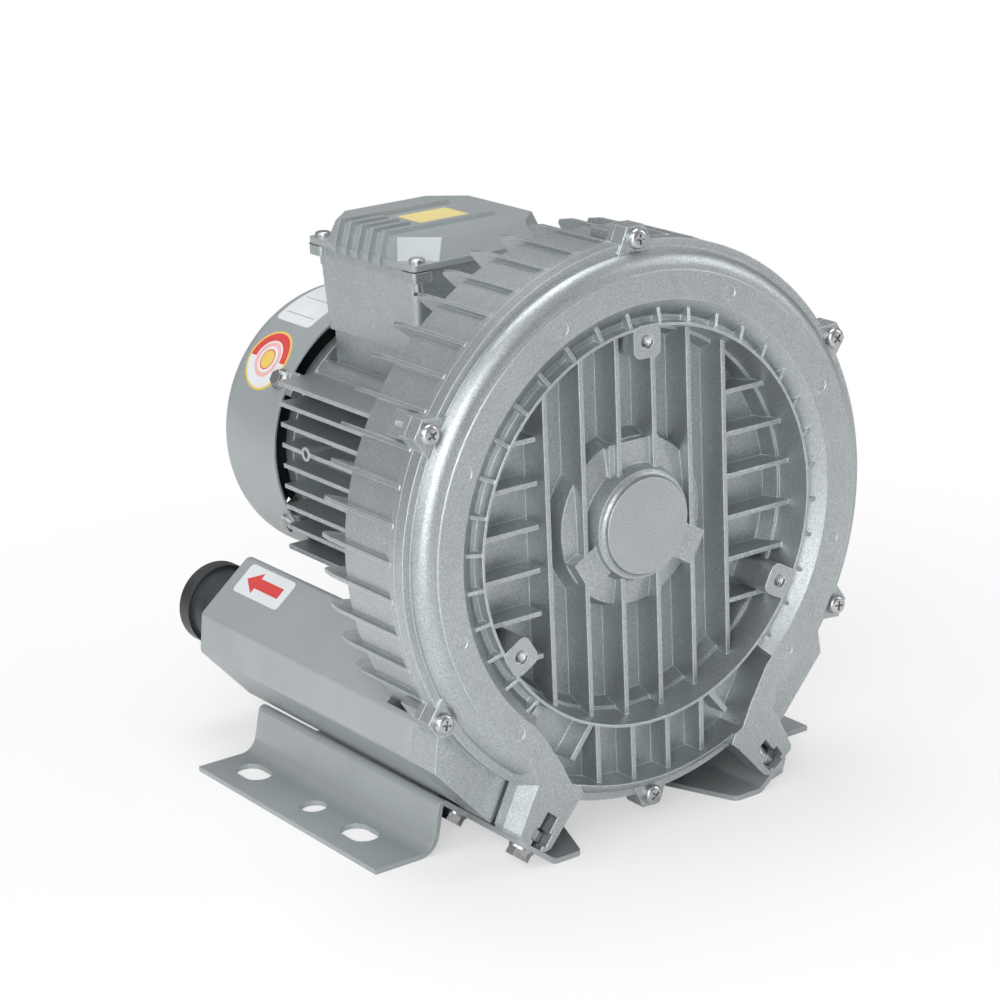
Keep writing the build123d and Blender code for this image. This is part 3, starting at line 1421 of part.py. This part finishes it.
for hand, side in (("left", -1), ("right", 1)):
    bracket = foot_bracket(side)
    bracket.label = f"{hand}_foot_bracket"
    export_step(bracket, f"parts/{hand}_foot_bracket.step")

# ==== foot fasteners: bolt heads and washers under the slope, nuts in the leg slots
with BuildPart() as foot_bolts:
    with BuildSketch(*[place.offset(-plate_t - washer_t) for place in foot_places]):
        RegularPolygon(nut_flats / 2, 6, major_radius=False)
    extrude(amount=-bolt_head_h)
    with BuildSketch(*[place.offset(-plate_t - washer_t) for place in foot_places]):
        Circle(foot_bolt_r)
    extrude(amount=bolt_length)
foot_bolts.part.label = "foot_bolts"
export_step(foot_bolts.part, "parts/foot_bolts.step")

with BuildPart() as foot_washers:
    with BuildSketch(*[place.offset(-plate_t) for place in foot_places]):
        Circle(washer_r)
        Circle(foot_bolt_r + thread_gap, mode=Mode.SUBTRACT)
    extrude(amount=-washer_t)
foot_washers.part.label = "foot_washers"
export_step(foot_washers.part, "parts/foot_washers.step")

with BuildPart() as foot_nuts:
    with BuildSketch(*[place.offset(nut_lift) for place in foot_places]):
        RegularPolygon(nut_flats / 2, 6, major_radius=False)
        Circle(foot_bolt_r, mode=Mode.SUBTRACT)
    extrude(amount=nut_h)
foot_nuts.part.label = "foot_nuts"
export_step(foot_nuts.part, "parts/foot_nuts.step")
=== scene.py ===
import json
import math

import bmesh
import bpy
from mathutils import Matrix, Vector


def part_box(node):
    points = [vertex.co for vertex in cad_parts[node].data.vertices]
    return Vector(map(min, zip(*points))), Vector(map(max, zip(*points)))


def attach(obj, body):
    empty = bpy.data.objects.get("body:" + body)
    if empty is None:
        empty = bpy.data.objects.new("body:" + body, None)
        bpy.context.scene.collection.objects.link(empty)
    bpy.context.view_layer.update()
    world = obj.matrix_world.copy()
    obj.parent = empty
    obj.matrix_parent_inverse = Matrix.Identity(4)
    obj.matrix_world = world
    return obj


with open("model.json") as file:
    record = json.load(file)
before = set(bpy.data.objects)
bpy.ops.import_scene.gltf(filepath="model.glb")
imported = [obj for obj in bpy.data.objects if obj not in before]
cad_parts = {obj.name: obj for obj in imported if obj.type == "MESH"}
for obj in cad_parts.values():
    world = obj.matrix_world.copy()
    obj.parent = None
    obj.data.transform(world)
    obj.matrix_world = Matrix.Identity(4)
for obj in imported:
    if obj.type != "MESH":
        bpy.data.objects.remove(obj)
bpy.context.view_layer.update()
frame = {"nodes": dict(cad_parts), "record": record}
nodes = frame["nodes"]

MM = 0.001

# Places on the CAD solids that the trim is laid on.
AXIS_Z = 147.2 * MM
COWL_R = 70 * MM
LID_RIB_H = 2.4 * MM
LID_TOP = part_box("terminal_lid")[1].z - LID_RIB_H
SILENCER_RIDGE = Vector((-82 * MM, 0, 97.2 * MM))
SILENCER_SHOULDER = Vector((-111 * MM, 0, 73.7 * MM))
COVER_BOSS_FACE_Y = -123.3
COVER_BOSSES = ((0, 233.7), (-74.9, 103.95), (74.9, 103.95))
BOSS_HOLE_R = 3.4 * MM

# Heights of foil and ink above the face they lie on.
FOIL = 0.16 * MM
THIN_FOIL = 0.14 * MM
RULE_INK = 0.19 * MM
ARROW_INK = 0.2 * MM


# --- node helpers ------------------------------------------------------------
def add_node(tree, kind, **values):
    made = tree.nodes.new(kind)
    for key, value in values.items():
        setattr(made, key, value)
    return made


def set_range(node, low, high, to_low, to_high):
    """Input and output limits of a Map Range node."""
    limits = zip(("From Min", "From Max", "To Min", "To Max"), (low, high, to_low, to_high))
    for key, number in limits:
        node.inputs[key].default_value = number


# --- materials ---------------------------------------------------------------
# Noise scales are counted per metre.
class Shader:
    """A small builder for one procedural material."""

    def __init__(self, name):
        self.material = bpy.data.materials.new(name)
        self.material.use_nodes = True
        self.tree = self.material.node_tree
        self.tree.nodes.clear()
        self.out = self.node("ShaderNodeOutputMaterial")
        self.bsdf = self.node("ShaderNodeBsdfPrincipled")
        self.link(self.bsdf.outputs["BSDF"], self.out.inputs["Surface"])
        self.where = self.node("ShaderNodeTexCoord").outputs["Object"]

    def node(self, kind, **values):
        return add_node(self.tree, kind, **values)

    def link(self, source, target):
        self.tree.links.new(source, target)

    def set(self, **values):
        for key, value in values.items():
            self.bsdf.inputs[key.replace("_", " ")].default_value = value

    def noise(self, scale, detail=2.0, rough=0.5, stretch=None):
        made = self.node("ShaderNodeTexNoise")
        made.inputs["Scale"].default_value = scale
        made.inputs["Detail"].default_value = detail
        made.inputs["Roughness"].default_value = rough
        source = self.where
        if stretch:
            mapping = self.node("ShaderNodeMapping")
            mapping.inputs["Scale"].default_value = stretch
            self.link(source, mapping.inputs["Vector"])
            source = mapping.outputs["Vector"]
        self.link(source, made.inputs["Vector"])
        return made.outputs["Fac"]

    def ramp(self, value, low, high, to_low=0.0, to_high=1.0):
        made = self.node("ShaderNodeMapRange")
        made.clamp = True
        self.link(value, made.inputs["Value"])
        set_range(made, low, high, to_low, to_high)
        return made.outputs["Result"]

    def math(self, kind, a, b=None):
        made = self.node("ShaderNodeMath", operation=kind)
        for socket, value in zip(made.inputs, (a, b)):
            if value is None:
                continue
            if isinstance(value, (int, float)):
                socket.default_value = value
            else:
                self.link(value, socket)
        return made.outputs["Value"]

    def mix(self, factor, a, b):
        made = self.node("ShaderNodeMix", data_type="RGBA")
        sockets = [s for s in made.inputs if s.enabled]
        for socket, value in zip(sockets, (factor, a, b)):
            if isinstance(value, (int, float)):
                socket.default_value = value
            elif isinstance(value, tuple):
                socket.default_value = (*value, 1.0)
            else:
                self.link(value, socket)
        return next(s for s in made.outputs if s.enabled)

    def edge(self, radius, low=0.02, high=0.25):
        """1 on convex and concave edges, 0 on flat faces, from rounded normals."""
        bevel = self.node("ShaderNodeBevel", samples=4)
        bevel.inputs["Radius"].default_value = radius
        geometry = self.node("ShaderNodeNewGeometry")
        dot = self.node("ShaderNodeVectorMath", operation="DOT_PRODUCT")
        self.link(bevel.outputs["Normal"], dot.inputs[0])
        self.link(geometry.outputs["Normal"], dot.inputs[1])
        return self.ramp(self.math("SUBTRACT", 1.0, dot.outputs["Value"]), low, high)

    def bump(self, height, distance, strength=1.0, rounding=None):
        made = self.node("ShaderNodeBump")
        made.inputs["Distance"].default_value = distance
        made.inputs["Strength"].default_value = strength
        self.link(height, made.inputs["Height"])
        if rounding:
            bevel = self.node("ShaderNodeBevel", samples=4)
            bevel.inputs["Radius"].default_value = rounding
            self.link(bevel.outputs["Normal"], made.inputs["Normal"])
        self.link(made.outputs["Normal"], self.bsdf.inputs["Normal"])


def scaled(colour, factor):
    return tuple(min(1.0, c * factor) for c in colour)


def cast_metal(name, colour, metallic, roughness, rounding):
    """Silver-sprayed casting: sand grain, flakes, mottled tone and a painted highlight along convex and
    concave edges.
    """
    s = Shader(name)
    grain = s.noise(1550, 3.0, 0.8)
    pits = s.noise(520, 2.0, 0.6)
    mottle = s.noise(38, 3.0, 0.6)
    flake = s.ramp(s.noise(2600, 1.0), 0.57, 0.70)
    tone = s.mix(s.ramp(mottle, 0.3, 0.7), scaled(colour, 0.88), colour)
    tone = s.mix(s.ramp(grain, 0.36, 0.52), scaled(colour, 0.70), tone)
    tone = s.mix(s.ramp(grain, 0.52, 0.70), tone, scaled(colour, 1.36))
    # Painted highlight: lighter colour along convex and concave edges.
    tone = s.mix(s.math("MULTIPLY", s.edge(0.8 * MM, 0.03, 0.25), 0.85), tone, scaled(colour, 1.85))
    s.link(tone, s.bsdf.inputs["Base Color"])
    s.set(Metallic=metallic)
    rough = s.ramp(grain, 0.3, 0.7, roughness + 0.08, roughness - 0.06)
    s.link(s.math("SUBTRACT", rough, s.math("MULTIPLY", flake, 0.14)), s.bsdf.inputs["Roughness"])
    height = s.math("ADD", grain, s.math("MULTIPLY", pits, 0.7))
    s.bump(height, 0.16 * MM, 0.7, rounding)
    return s.material


def sprayed_paint(name, colour, metallic, roughness, rounding):
    """Smooth grey paint on sheet and extruded pieces: slight orange peel, scuffs and a painted
    highlight along convex and concave edges.
    """
    s = Shader(name)
    peel = s.noise(520, 2.0, 0.5)
    mottle = s.noise(22, 4.0, 0.6)
    speck = s.ramp(s.noise(900, 2.0, 0.8), 0.66, 0.74)
    tone = s.mix(s.ramp(mottle, 0.3, 0.7), scaled(colour, 0.90), colour)
    tone = s.mix(s.math("MULTIPLY", speck, 0.3), tone, scaled(colour, 0.75))
    # Painted highlight: lighter colour along convex and concave edges.
    tone = s.mix(s.math("MULTIPLY", s.edge(0.5 * MM), 0.4), tone, scaled(colour, 1.5))
    s.link(tone, s.bsdf.inputs["Base Color"])
    s.set(Metallic=metallic)
    s.link(s.ramp(mottle, 0.25, 0.75, roughness + 0.05, roughness - 0.05), s.bsdf.inputs["Roughness"])
    s.bump(peel, 0.05 * MM, 0.35, rounding)
    return s.material


def plated(name, colour, roughness, rounding=0.2 * MM):
    """Bright plated or ground steel with fine scratches and dull spots."""
    s = Shader(name)
    scratch = s.noise(700, 3.0, 0.6, (1.0, 0.15, 1.0))
    dull = s.noise(160, 3.0, 0.6)
    tone = s.mix(s.ramp(dull, 0.35, 0.7), colour, scaled(colour, 0.72))
    s.link(tone, s.bsdf.inputs["Base Color"])
    s.set(Metallic=1.0)
    s.link(s.ramp(dull, 0.3, 0.7, roughness - 0.06, roughness + 0.12), s.bsdf.inputs["Roughness"])
    s.bump(scratch, 0.04 * MM, 0.4, rounding)
    return s.material


def moulded(name, colour, roughness, rounding=0.4 * MM):
    """Black or dark moulded plastic with spark texture and a painted highlight along convex and concave
    edges.
    """
    s = Shader(name)
    spark = s.noise(1100, 2.0, 0.6)
    dust = s.noise(70, 4.0, 0.7)
    pale = tuple(min(1.0, c * 1.7 + 0.012) for c in colour)
    tone = s.mix(s.ramp(dust, 0.4, 0.8), colour, pale)
    # Painted highlight: paler colour along convex and concave edges.
    tone = s.mix(s.math("MULTIPLY", s.edge(0.6 * MM), 0.3), tone, tuple(c * 2.6 + 0.02 for c in colour))
    s.link(tone, s.bsdf.inputs["Base Color"])
    s.link(s.ramp(dust, 0.3, 0.7, roughness - 0.05, roughness + 0.08), s.bsdf.inputs["Roughness"])
    s.bump(spark, 0.06 * MM, 0.5, rounding)
    return s.material


def printed(name, colour, roughness=0.42, metallic=0.0):
    """Printed foil of a sticker: near-flat ink with slight waves, dust and rubbing."""
    s = Shader(name)
    wave = s.noise(55, 2.0, 0.5)
    ink = s.noise(900, 2.0, 0.7)
    tone = s.mix(s.ramp(wave, 0.3, 0.7), scaled(colour, 0.93), colour)
    tone = s.mix(s.ramp(ink, 0.55, 0.8), tone, tuple(min(1.0, c * 0.9 + 0.06) for c in colour))
    s.link(tone, s.bsdf.inputs["Base Color"])
    s.set(Metallic=metallic)
    s.link(s.ramp(ink, 0.3, 0.7, roughness - 0.04, roughness + 0.08), s.bsdf.inputs["Roughness"])
    s.bump(wave, 0.05 * MM, 0.5)
    return s.material


MATERIALS = {
    "cast_aluminium": cast_metal("sprayed_casting", (0.485, 0.522, 0.535), 0.80, 0.36, 0.6 * MM),
    "bare_aluminium": cast_metal("bare_casting", (0.58, 0.59, 0.60), 0.9, 0.38, 0.4 * MM),
    "grey_paint": sprayed_paint("grey_paint", (0.425, 0.46, 0.472), 0.45, 0.40, 0.5 * MM),
    "zinc_steel": plated("zinc_plate", (0.60, 0.61, 0.62), 0.28),
    "ground_steel": plated("ground_steel", (0.55, 0.56, 0.57), 0.22),
    "laminated_steel": plated("laminations", (0.20, 0.20, 0.21), 0.45),
    "perforated_steel": plated("perforated_steel", (0.50, 0.50, 0.51), 0.4),
    "copper": plated("winding_copper", (0.55, 0.25, 0.12), 0.35),
    "brass": plated("brass", (0.68, 0.50, 0.20), 0.28),
    "black_plastic": moulded("black_moulding", (0.022, 0.025, 0.028), 0.38),
    "rubber": moulded("black_rubber", (0.018, 0.018, 0.019), 0.65),
    "foam": moulded("grey_foam", (0.05, 0.05, 0.052), 0.9),
}
BARE_METAL = MATERIALS["bare_aluminium"]
WHITE_FOIL = printed("white_foil", (0.66, 0.69, 0.71))
RED_INK = printed("red_ink", (0.60, 0.055, 0.05))
PINK_INK = printed("pink_ink", (0.74, 0.40, 0.38))
GOLD_INK = printed("gold_ink", (0.70, 0.50, 0.12))
YELLOW_FOIL = printed("yellow_foil", (0.78, 0.66, 0.27))
GREY_INK = printed("grey_ink", (0.16, 0.17, 0.18))

for part in frame["record"]["subparts"]:
    mesh = nodes[part["node"]].data
    mesh.materials.clear()
    mesh.materials.append(MATERIALS[part["material_slot"]])


# --- stickers and small trim on the CAD surfaces ---------------------------------
def rounded_rectangle(width, height, radius, steps=5):
    """Outline points of a rectangle with round corners, centred on the origin."""
    points = []
    for corner, (sx, sy) in enumerate(((1, 1), (-1, 1), (-1, -1), (1, -1))):
        for k in range(steps + 1):
            a = math.radians(90 * corner + 90 * k / steps)
            x = sx * (width / 2 - radius) + radius * math.cos(a)
            y = sy * (height / 2 - radius) + radius * math.sin(a)
            points.append((x, y))
    return points


def circle(radius, count=48):
    angles = [math.tau * k / count for k in range(count)]
    return [(radius * math.cos(a), radius * math.sin(a)) for a in angles]


def in_millimetres(points):
    return [(x * MM, y * MM) for x, y in points]


def ride_root(name, bm, materials):
    """Object made of a finished bmesh, fixed to the standing body."""
    bmesh.ops.recalc_face_normals(bm, faces=bm.faces)
    mesh = bpy.data.meshes.new(name)
    bm.to_mesh(mesh)
    bm.free()
    for material in materials:
        mesh.materials.append(material)
    made = bpy.data.objects.new(name, mesh)
    bpy.context.scene.collection.objects.link(made)
    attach(made, "root")


def subdivided(points, longest):
    """The same closed outline with its long sides divided."""
    result = []
    for (x0, y0), (x1, y1) in zip(points, points[1:] + points[:1]):
        parts = max(1, math.ceil(math.hypot(x1 - x0, y1 - y0) / longest))
        result += [(x0 + (x1 - x0) * k / parts, y0 + (y1 - y0) * k / parts) for k in range(parts)]
    return result


def sticker(name, outline, place, low, high, bands, centre=(0.0, 0.0), longest=3 * MM):
    """Thin patch laid on a surface, its points from place(u, v, lift).

    A band is (share of the outline's reach, material) or (share, material, material of the lower half).
    """
    outline = subdivided(outline, longest)
    bm = bmesh.new()
    materials = []
    shares = [0.0]
    for share, *inks in bands:
        start = shares[-1]
        count = max(1, round((share - start) * 6))
        shares += [start + (share - start) * (k + 1) / count for k in range(count)]
        materials += [inks] * count
    hub = bm.verts.new(place(*centre, high))
    rings = []
    for share in shares[1:]:
        ring = []
        for x, y in outline:
            u = centre[0] + (x - centre[0]) * share
            v = centre[1] + (y - centre[1]) * share
            ring.append(bm.verts.new(place(u, v, high)))
        rings.append(ring)
    rings.append([bm.verts.new(place(x, y, low)) for x, y in outline])
    materials.append(materials[-1])
    slots = []
    for material in (ink for inks in materials for ink in inks):
        if material not in slots:
            slots.append(material)
    count = len(outline)
    for level, ring in enumerate(rings):
        for k in range(count):
            after = (k + 1) % count
            if level == 0:
                face = bm.faces.new((hub, ring[k], ring[after]))
            else:
                inner = rings[level - 1]
                face = bm.faces.new((inner[k], ring[k], ring[after], inner[after]))
            below = outline[k][1] + outline[after][1] < 2 * centre[1]
            face.material_index = slots.index(materials[level][-1 if below else 0])
    ride_root(name, bm, slots)


def on_plane(origin, along, up):
    """Placement on a flat face from its origin and two directions."""
    origin, along, up = Vector(origin), Vector(along).normalized(), Vector(up).normalized()
    normal = along.cross(up)
    return lambda u, v, lift: origin + along * u + up * v + normal * lift


def on_cowl(y, angle):
    """Placement round the fan cowl, from the place along it and the angle above its left side."""

    def place(u, v, lift):
        a = math.radians(angle) + v / COWL_R
        r = COWL_R + lift
        return Vector((-r * math.cos(a), y + u, AXIS_Z + r * math.sin(a)))

    return place


# Flow arrow on the outlet silencer's upper left face.
rise = (SILENCER_RIDGE - SILENCER_SHOULDER).normalized()
label_drop = 11.5 * MM
label_y = 69.5 * MM
label_centre = SILENCER_RIDGE - rise * label_drop + Vector((0, label_y, 0))
label_face = on_plane(label_centre, (0, -1, 0), rise)
label = rounded_rectangle(41 * MM, 17 * MM, 2.5 * MM)
sticker("flow_label", label, label_face, 0, FOIL, [(1.0, WHITE_FOIL)])
arrow = in_millimetres([(-16, 0), (-6, 6.2), (-6, 3), (15, 3), (15, -3), (-6, -3), (-6, -6.2)])
arrow_hub = (-7 * MM, 0)
sticker("flow_arrow", arrow, label_face, FOIL, ARROW_INK, [(1.0, RED_INK)], centre=arrow_hub)

# Plain yellow foil between the long ribs of the lid.
lid_face = on_plane((0.5 * MM, 37 * MM, LID_TOP), (1, 0, 0), (0, 1, 0))
foil = rounded_rectangle(28 * MM, 30 * MM, 1 * MM)
sticker("lid_foil", foil, lid_face, 0, THIN_FOIL, [(1.0, YELLOW_FOIL)])

# Round ring sticker on the side of the fan cowl, its broad band red above and white below.
ring_bands = [
    (0.30, GOLD_INK),
    (0.34, RED_INK),
    (0.44, WHITE_FOIL),
    (0.58, PINK_INK),
    (0.64, WHITE_FOIL),
    (0.92, RED_INK, WHITE_FOIL),
    (1.0, GOLD_INK),
]
sticker("ring_sticker", circle(16.5 * MM), on_cowl(112.5 * MM, 38), 0, THIN_FOIL, ring_bands)

# Blank rating plate above it, with three fine rules.
plate_face = on_cowl(114 * MM, 72)
plate = rounded_rectangle(31 * MM, 38 * MM, 3 * MM)
sticker("rating_plate", plate, plate_face, 0, FOIL, [(1.0, WHITE_FOIL)])
rule = rounded_rectangle(25 * MM, 0.35 * MM, 0.15 * MM, 1)
for number, v in enumerate((-13 * MM, 0, 13 * MM)):
    line = [(x, y + v) for x, y in rule]
    name = f"plate_rule_{number}"
    sticker(name, line, plate_face, FOIL, RULE_INK, [(1.0, GREY_INK)], centre=(0, v))


def thread(name, mouth, radius, depth, pitch, turns, steps=24):
    """Helical ridge inside a hole that opens to the front, its crest depth inside the wall."""
    lead_in = 0.6
    half_root = 0.42
    profile = ((radius, -half_root), (radius - depth, 0.0), (radius, half_root))
    rows = []
    for k in range(turns * steps + 1):
        a = math.tau * k / steps
        y = mouth.y + pitch * (lead_in + k / steps)
        row = []
        for r, along in profile:
            row.append((mouth.x + r * math.cos(a), y + along * pitch, mouth.z + r * math.sin(a)))
        rows.append(row)
    bm = bmesh.new()
    rows = [[bm.verts.new(point) for point in row] for row in rows]
    for row, after in zip(rows, rows[1:]):
        for j in (0, 1, 2):
            bm.faces.new((row[j], after[j], after[(j + 1) % 3], row[(j + 1) % 3]))
    bm.faces.new(rows[0])
    bm.faces.new(reversed(rows[-1]))
    ride_root(name, bm, [BARE_METAL])


# Tapped threads in the three bosses of the front cover.
for number, (x, z) in enumerate(COVER_BOSSES):
    mouth = Vector((x, COVER_BOSS_FACE_Y, z)) * MM
    thread(f"boss_thread_{number}", mouth, BOSS_HOLE_R, depth=0.55 * MM, pitch=1.25 * MM, turns=8)


# --- floor, lamps and camera -------------------------------------------------
scene = bpy.context.scene
scene.view_settings.view_transform = "Standard"


def backdrop_shader():
    """Floor that keeps the shadow near the object and turns plain white further out."""
    shadow_reach = 0.20
    white_from = 0.50
    glow_near = 0.54
    material = bpy.data.materials.new("pale_floor")
    material.use_nodes = True
    tree = material.node_tree
    tree.nodes.clear()

    out = add_node(tree, "ShaderNodeOutputMaterial")
    diffuse = add_node(tree, "ShaderNodeBsdfDiffuse")
    diffuse.inputs["Color"].default_value = (0.86, 0.86, 0.86, 1)
    glow = add_node(tree, "ShaderNodeEmission")
    path = add_node(tree, "ShaderNodeLightPath")
    where = add_node(tree, "ShaderNodeTexCoord")
    length = add_node(tree, "ShaderNodeVectorMath", operation="LENGTH")
    spread = add_node(tree, "ShaderNodeMapRange")
    set_range(spread, shadow_reach, white_from, glow_near, 1.0)
    share = add_node(tree, "ShaderNodeMath", operation="MULTIPLY")
    mix = add_node(tree, "ShaderNodeMixShader")
    tree.links.new(where.outputs["Object"], length.inputs[0])
    tree.links.new(length.outputs["Value"], spread.inputs["Value"])
    tree.links.new(path.outputs["Is Camera Ray"], share.inputs[0])
    tree.links.new(spread.outputs["Result"], share.inputs[1])
    tree.links.new(share.outputs[0], mix.inputs["Fac"])
    tree.links.new(diffuse.outputs[0], mix.inputs[1])
    tree.links.new(glow.outputs[0], mix.inputs[2])
    tree.links.new(mix.outputs[0], out.inputs["Surface"])
    return material


def make_floor():
    mesh = bpy.data.meshes.new("floor")
    half = 6.0
    corners = [(-half, -half, 0), (half, -half, 0), (half, half, 0), (-half, half, 0)]
    mesh.from_pydata(corners, [], [(0, 1, 2, 3)])
    floor = bpy.data.objects.new("floor", mesh)
    scene.collection.objects.link(floor)
    mesh.materials.append(backdrop_shader())


def make_world():
    """White to the camera; for light and gloss, brighter above than at the horizon."""
    horizon_strength = 0.12
    zenith_strength = 0.48
    world = bpy.data.worlds.new("studio")
    scene.world = world
    world.use_nodes = True
    tree = world.node_tree
    tree.nodes.clear()
    out = add_node(tree, "ShaderNodeOutputWorld")
    soft = add_node(tree, "ShaderNodeBackground")
    soft.inputs["Color"].default_value = (1, 1, 1, 1)
    direction = add_node(tree, "ShaderNodeTexCoord")
    parts = add_node(tree, "ShaderNodeSeparateXYZ")
    height = add_node(tree, "ShaderNodeMapRange")
    set_range(height, -0.1, 1.0, horizon_strength, zenith_strength)
    tree.links.new(direction.outputs["Generated"], parts.inputs[0])
    tree.links.new(parts.outputs["Z"], height.inputs["Value"])
    tree.links.new(height.outputs["Result"], soft.inputs["Strength"])
    white = add_node(tree, "ShaderNodeBackground")
    white.inputs["Color"].default_value = (1, 1, 1, 1)
    white.inputs["Strength"].default_value = 1.0
    path = add_node(tree, "ShaderNodeLightPath")
    seen = add_node(tree, "ShaderNodeMath", operation="MAXIMUM")
    mix = add_node(tree, "ShaderNodeMixShader")
    tree.links.new(path.outputs["Is Camera Ray"], seen.inputs[0])
    tree.links.new(path.outputs["Is Transmission Ray"], seen.inputs[1])
    tree.links.new(seen.outputs[0], mix.inputs["Fac"])
    tree.links.new(soft.outputs[0], mix.inputs[1])
    tree.links.new(white.outputs[0], mix.inputs[2])
    tree.links.new(mix.outputs[0], out.inputs["Surface"])


def lamp(name, place, size, watts, target=(0, 0, 0.13)):
    data = bpy.data.lights.new(name, "AREA")
    data.shape = "RECTANGLE"
    data.size, data.size_y = size
    data.energy = watts
    made = bpy.data.objects.new(name, data)
    scene.collection.objects.link(made)
    made.location = place
    direction = Vector(target) - Vector(place)
    made.rotation_mode = "QUATERNION"
    made.rotation_quaternion = direction.to_track_quat("-Z", "Y")


def make_camera():
    """The photograph's own station point and tilt; 105.9 mm lens on a 36 mm square frame."""
    azimuth, elevation, roll = (math.radians(v) for v in (-34.99, 17.76, -2.46))
    back = Vector(
        (
            math.sin(azimuth) * math.cos(elevation),
            -math.cos(azimuth) * math.cos(elevation),
            math.sin(elevation),
        )
    )
    level = (-back).cross(Vector((0, 0, 1))).normalized()
    upright = level.cross(-back)
    right = level * math.cos(roll) + upright * math.sin(roll)
    up = upright * math.cos(roll) - level * math.sin(roll)
    data = bpy.data.cameras.new("camera")
    data.sensor_width = 36.0
    data.lens = 105.9
    data.dof.use_dof = False
    data.clip_start, data.clip_end = 0.05, 30
    made = bpy.data.objects.new("camera", data)
    scene.collection.objects.link(made)
    turn = Matrix((right, up, back)).transposed().to_4x4()
    made.matrix_world = Matrix.Translation((-0.77565, -1.11303, 0.41827 + AXIS_Z)) @ turn
    scene.camera = made


make_floor()
make_world()
lamp("key", (-1.05, -1.15, 0.72), (0.7, 1.3), 15)
lamp("left", (-1.5, 0.1, 1.0), (1.3, 1.1), 10)
lamp("top", (0.1, 0.3, 1.7), (1.0, 1.0), 12)
lamp("side", (1.35, -0.95, 0.75), (0.4, 1.0), 6)
make_camera()
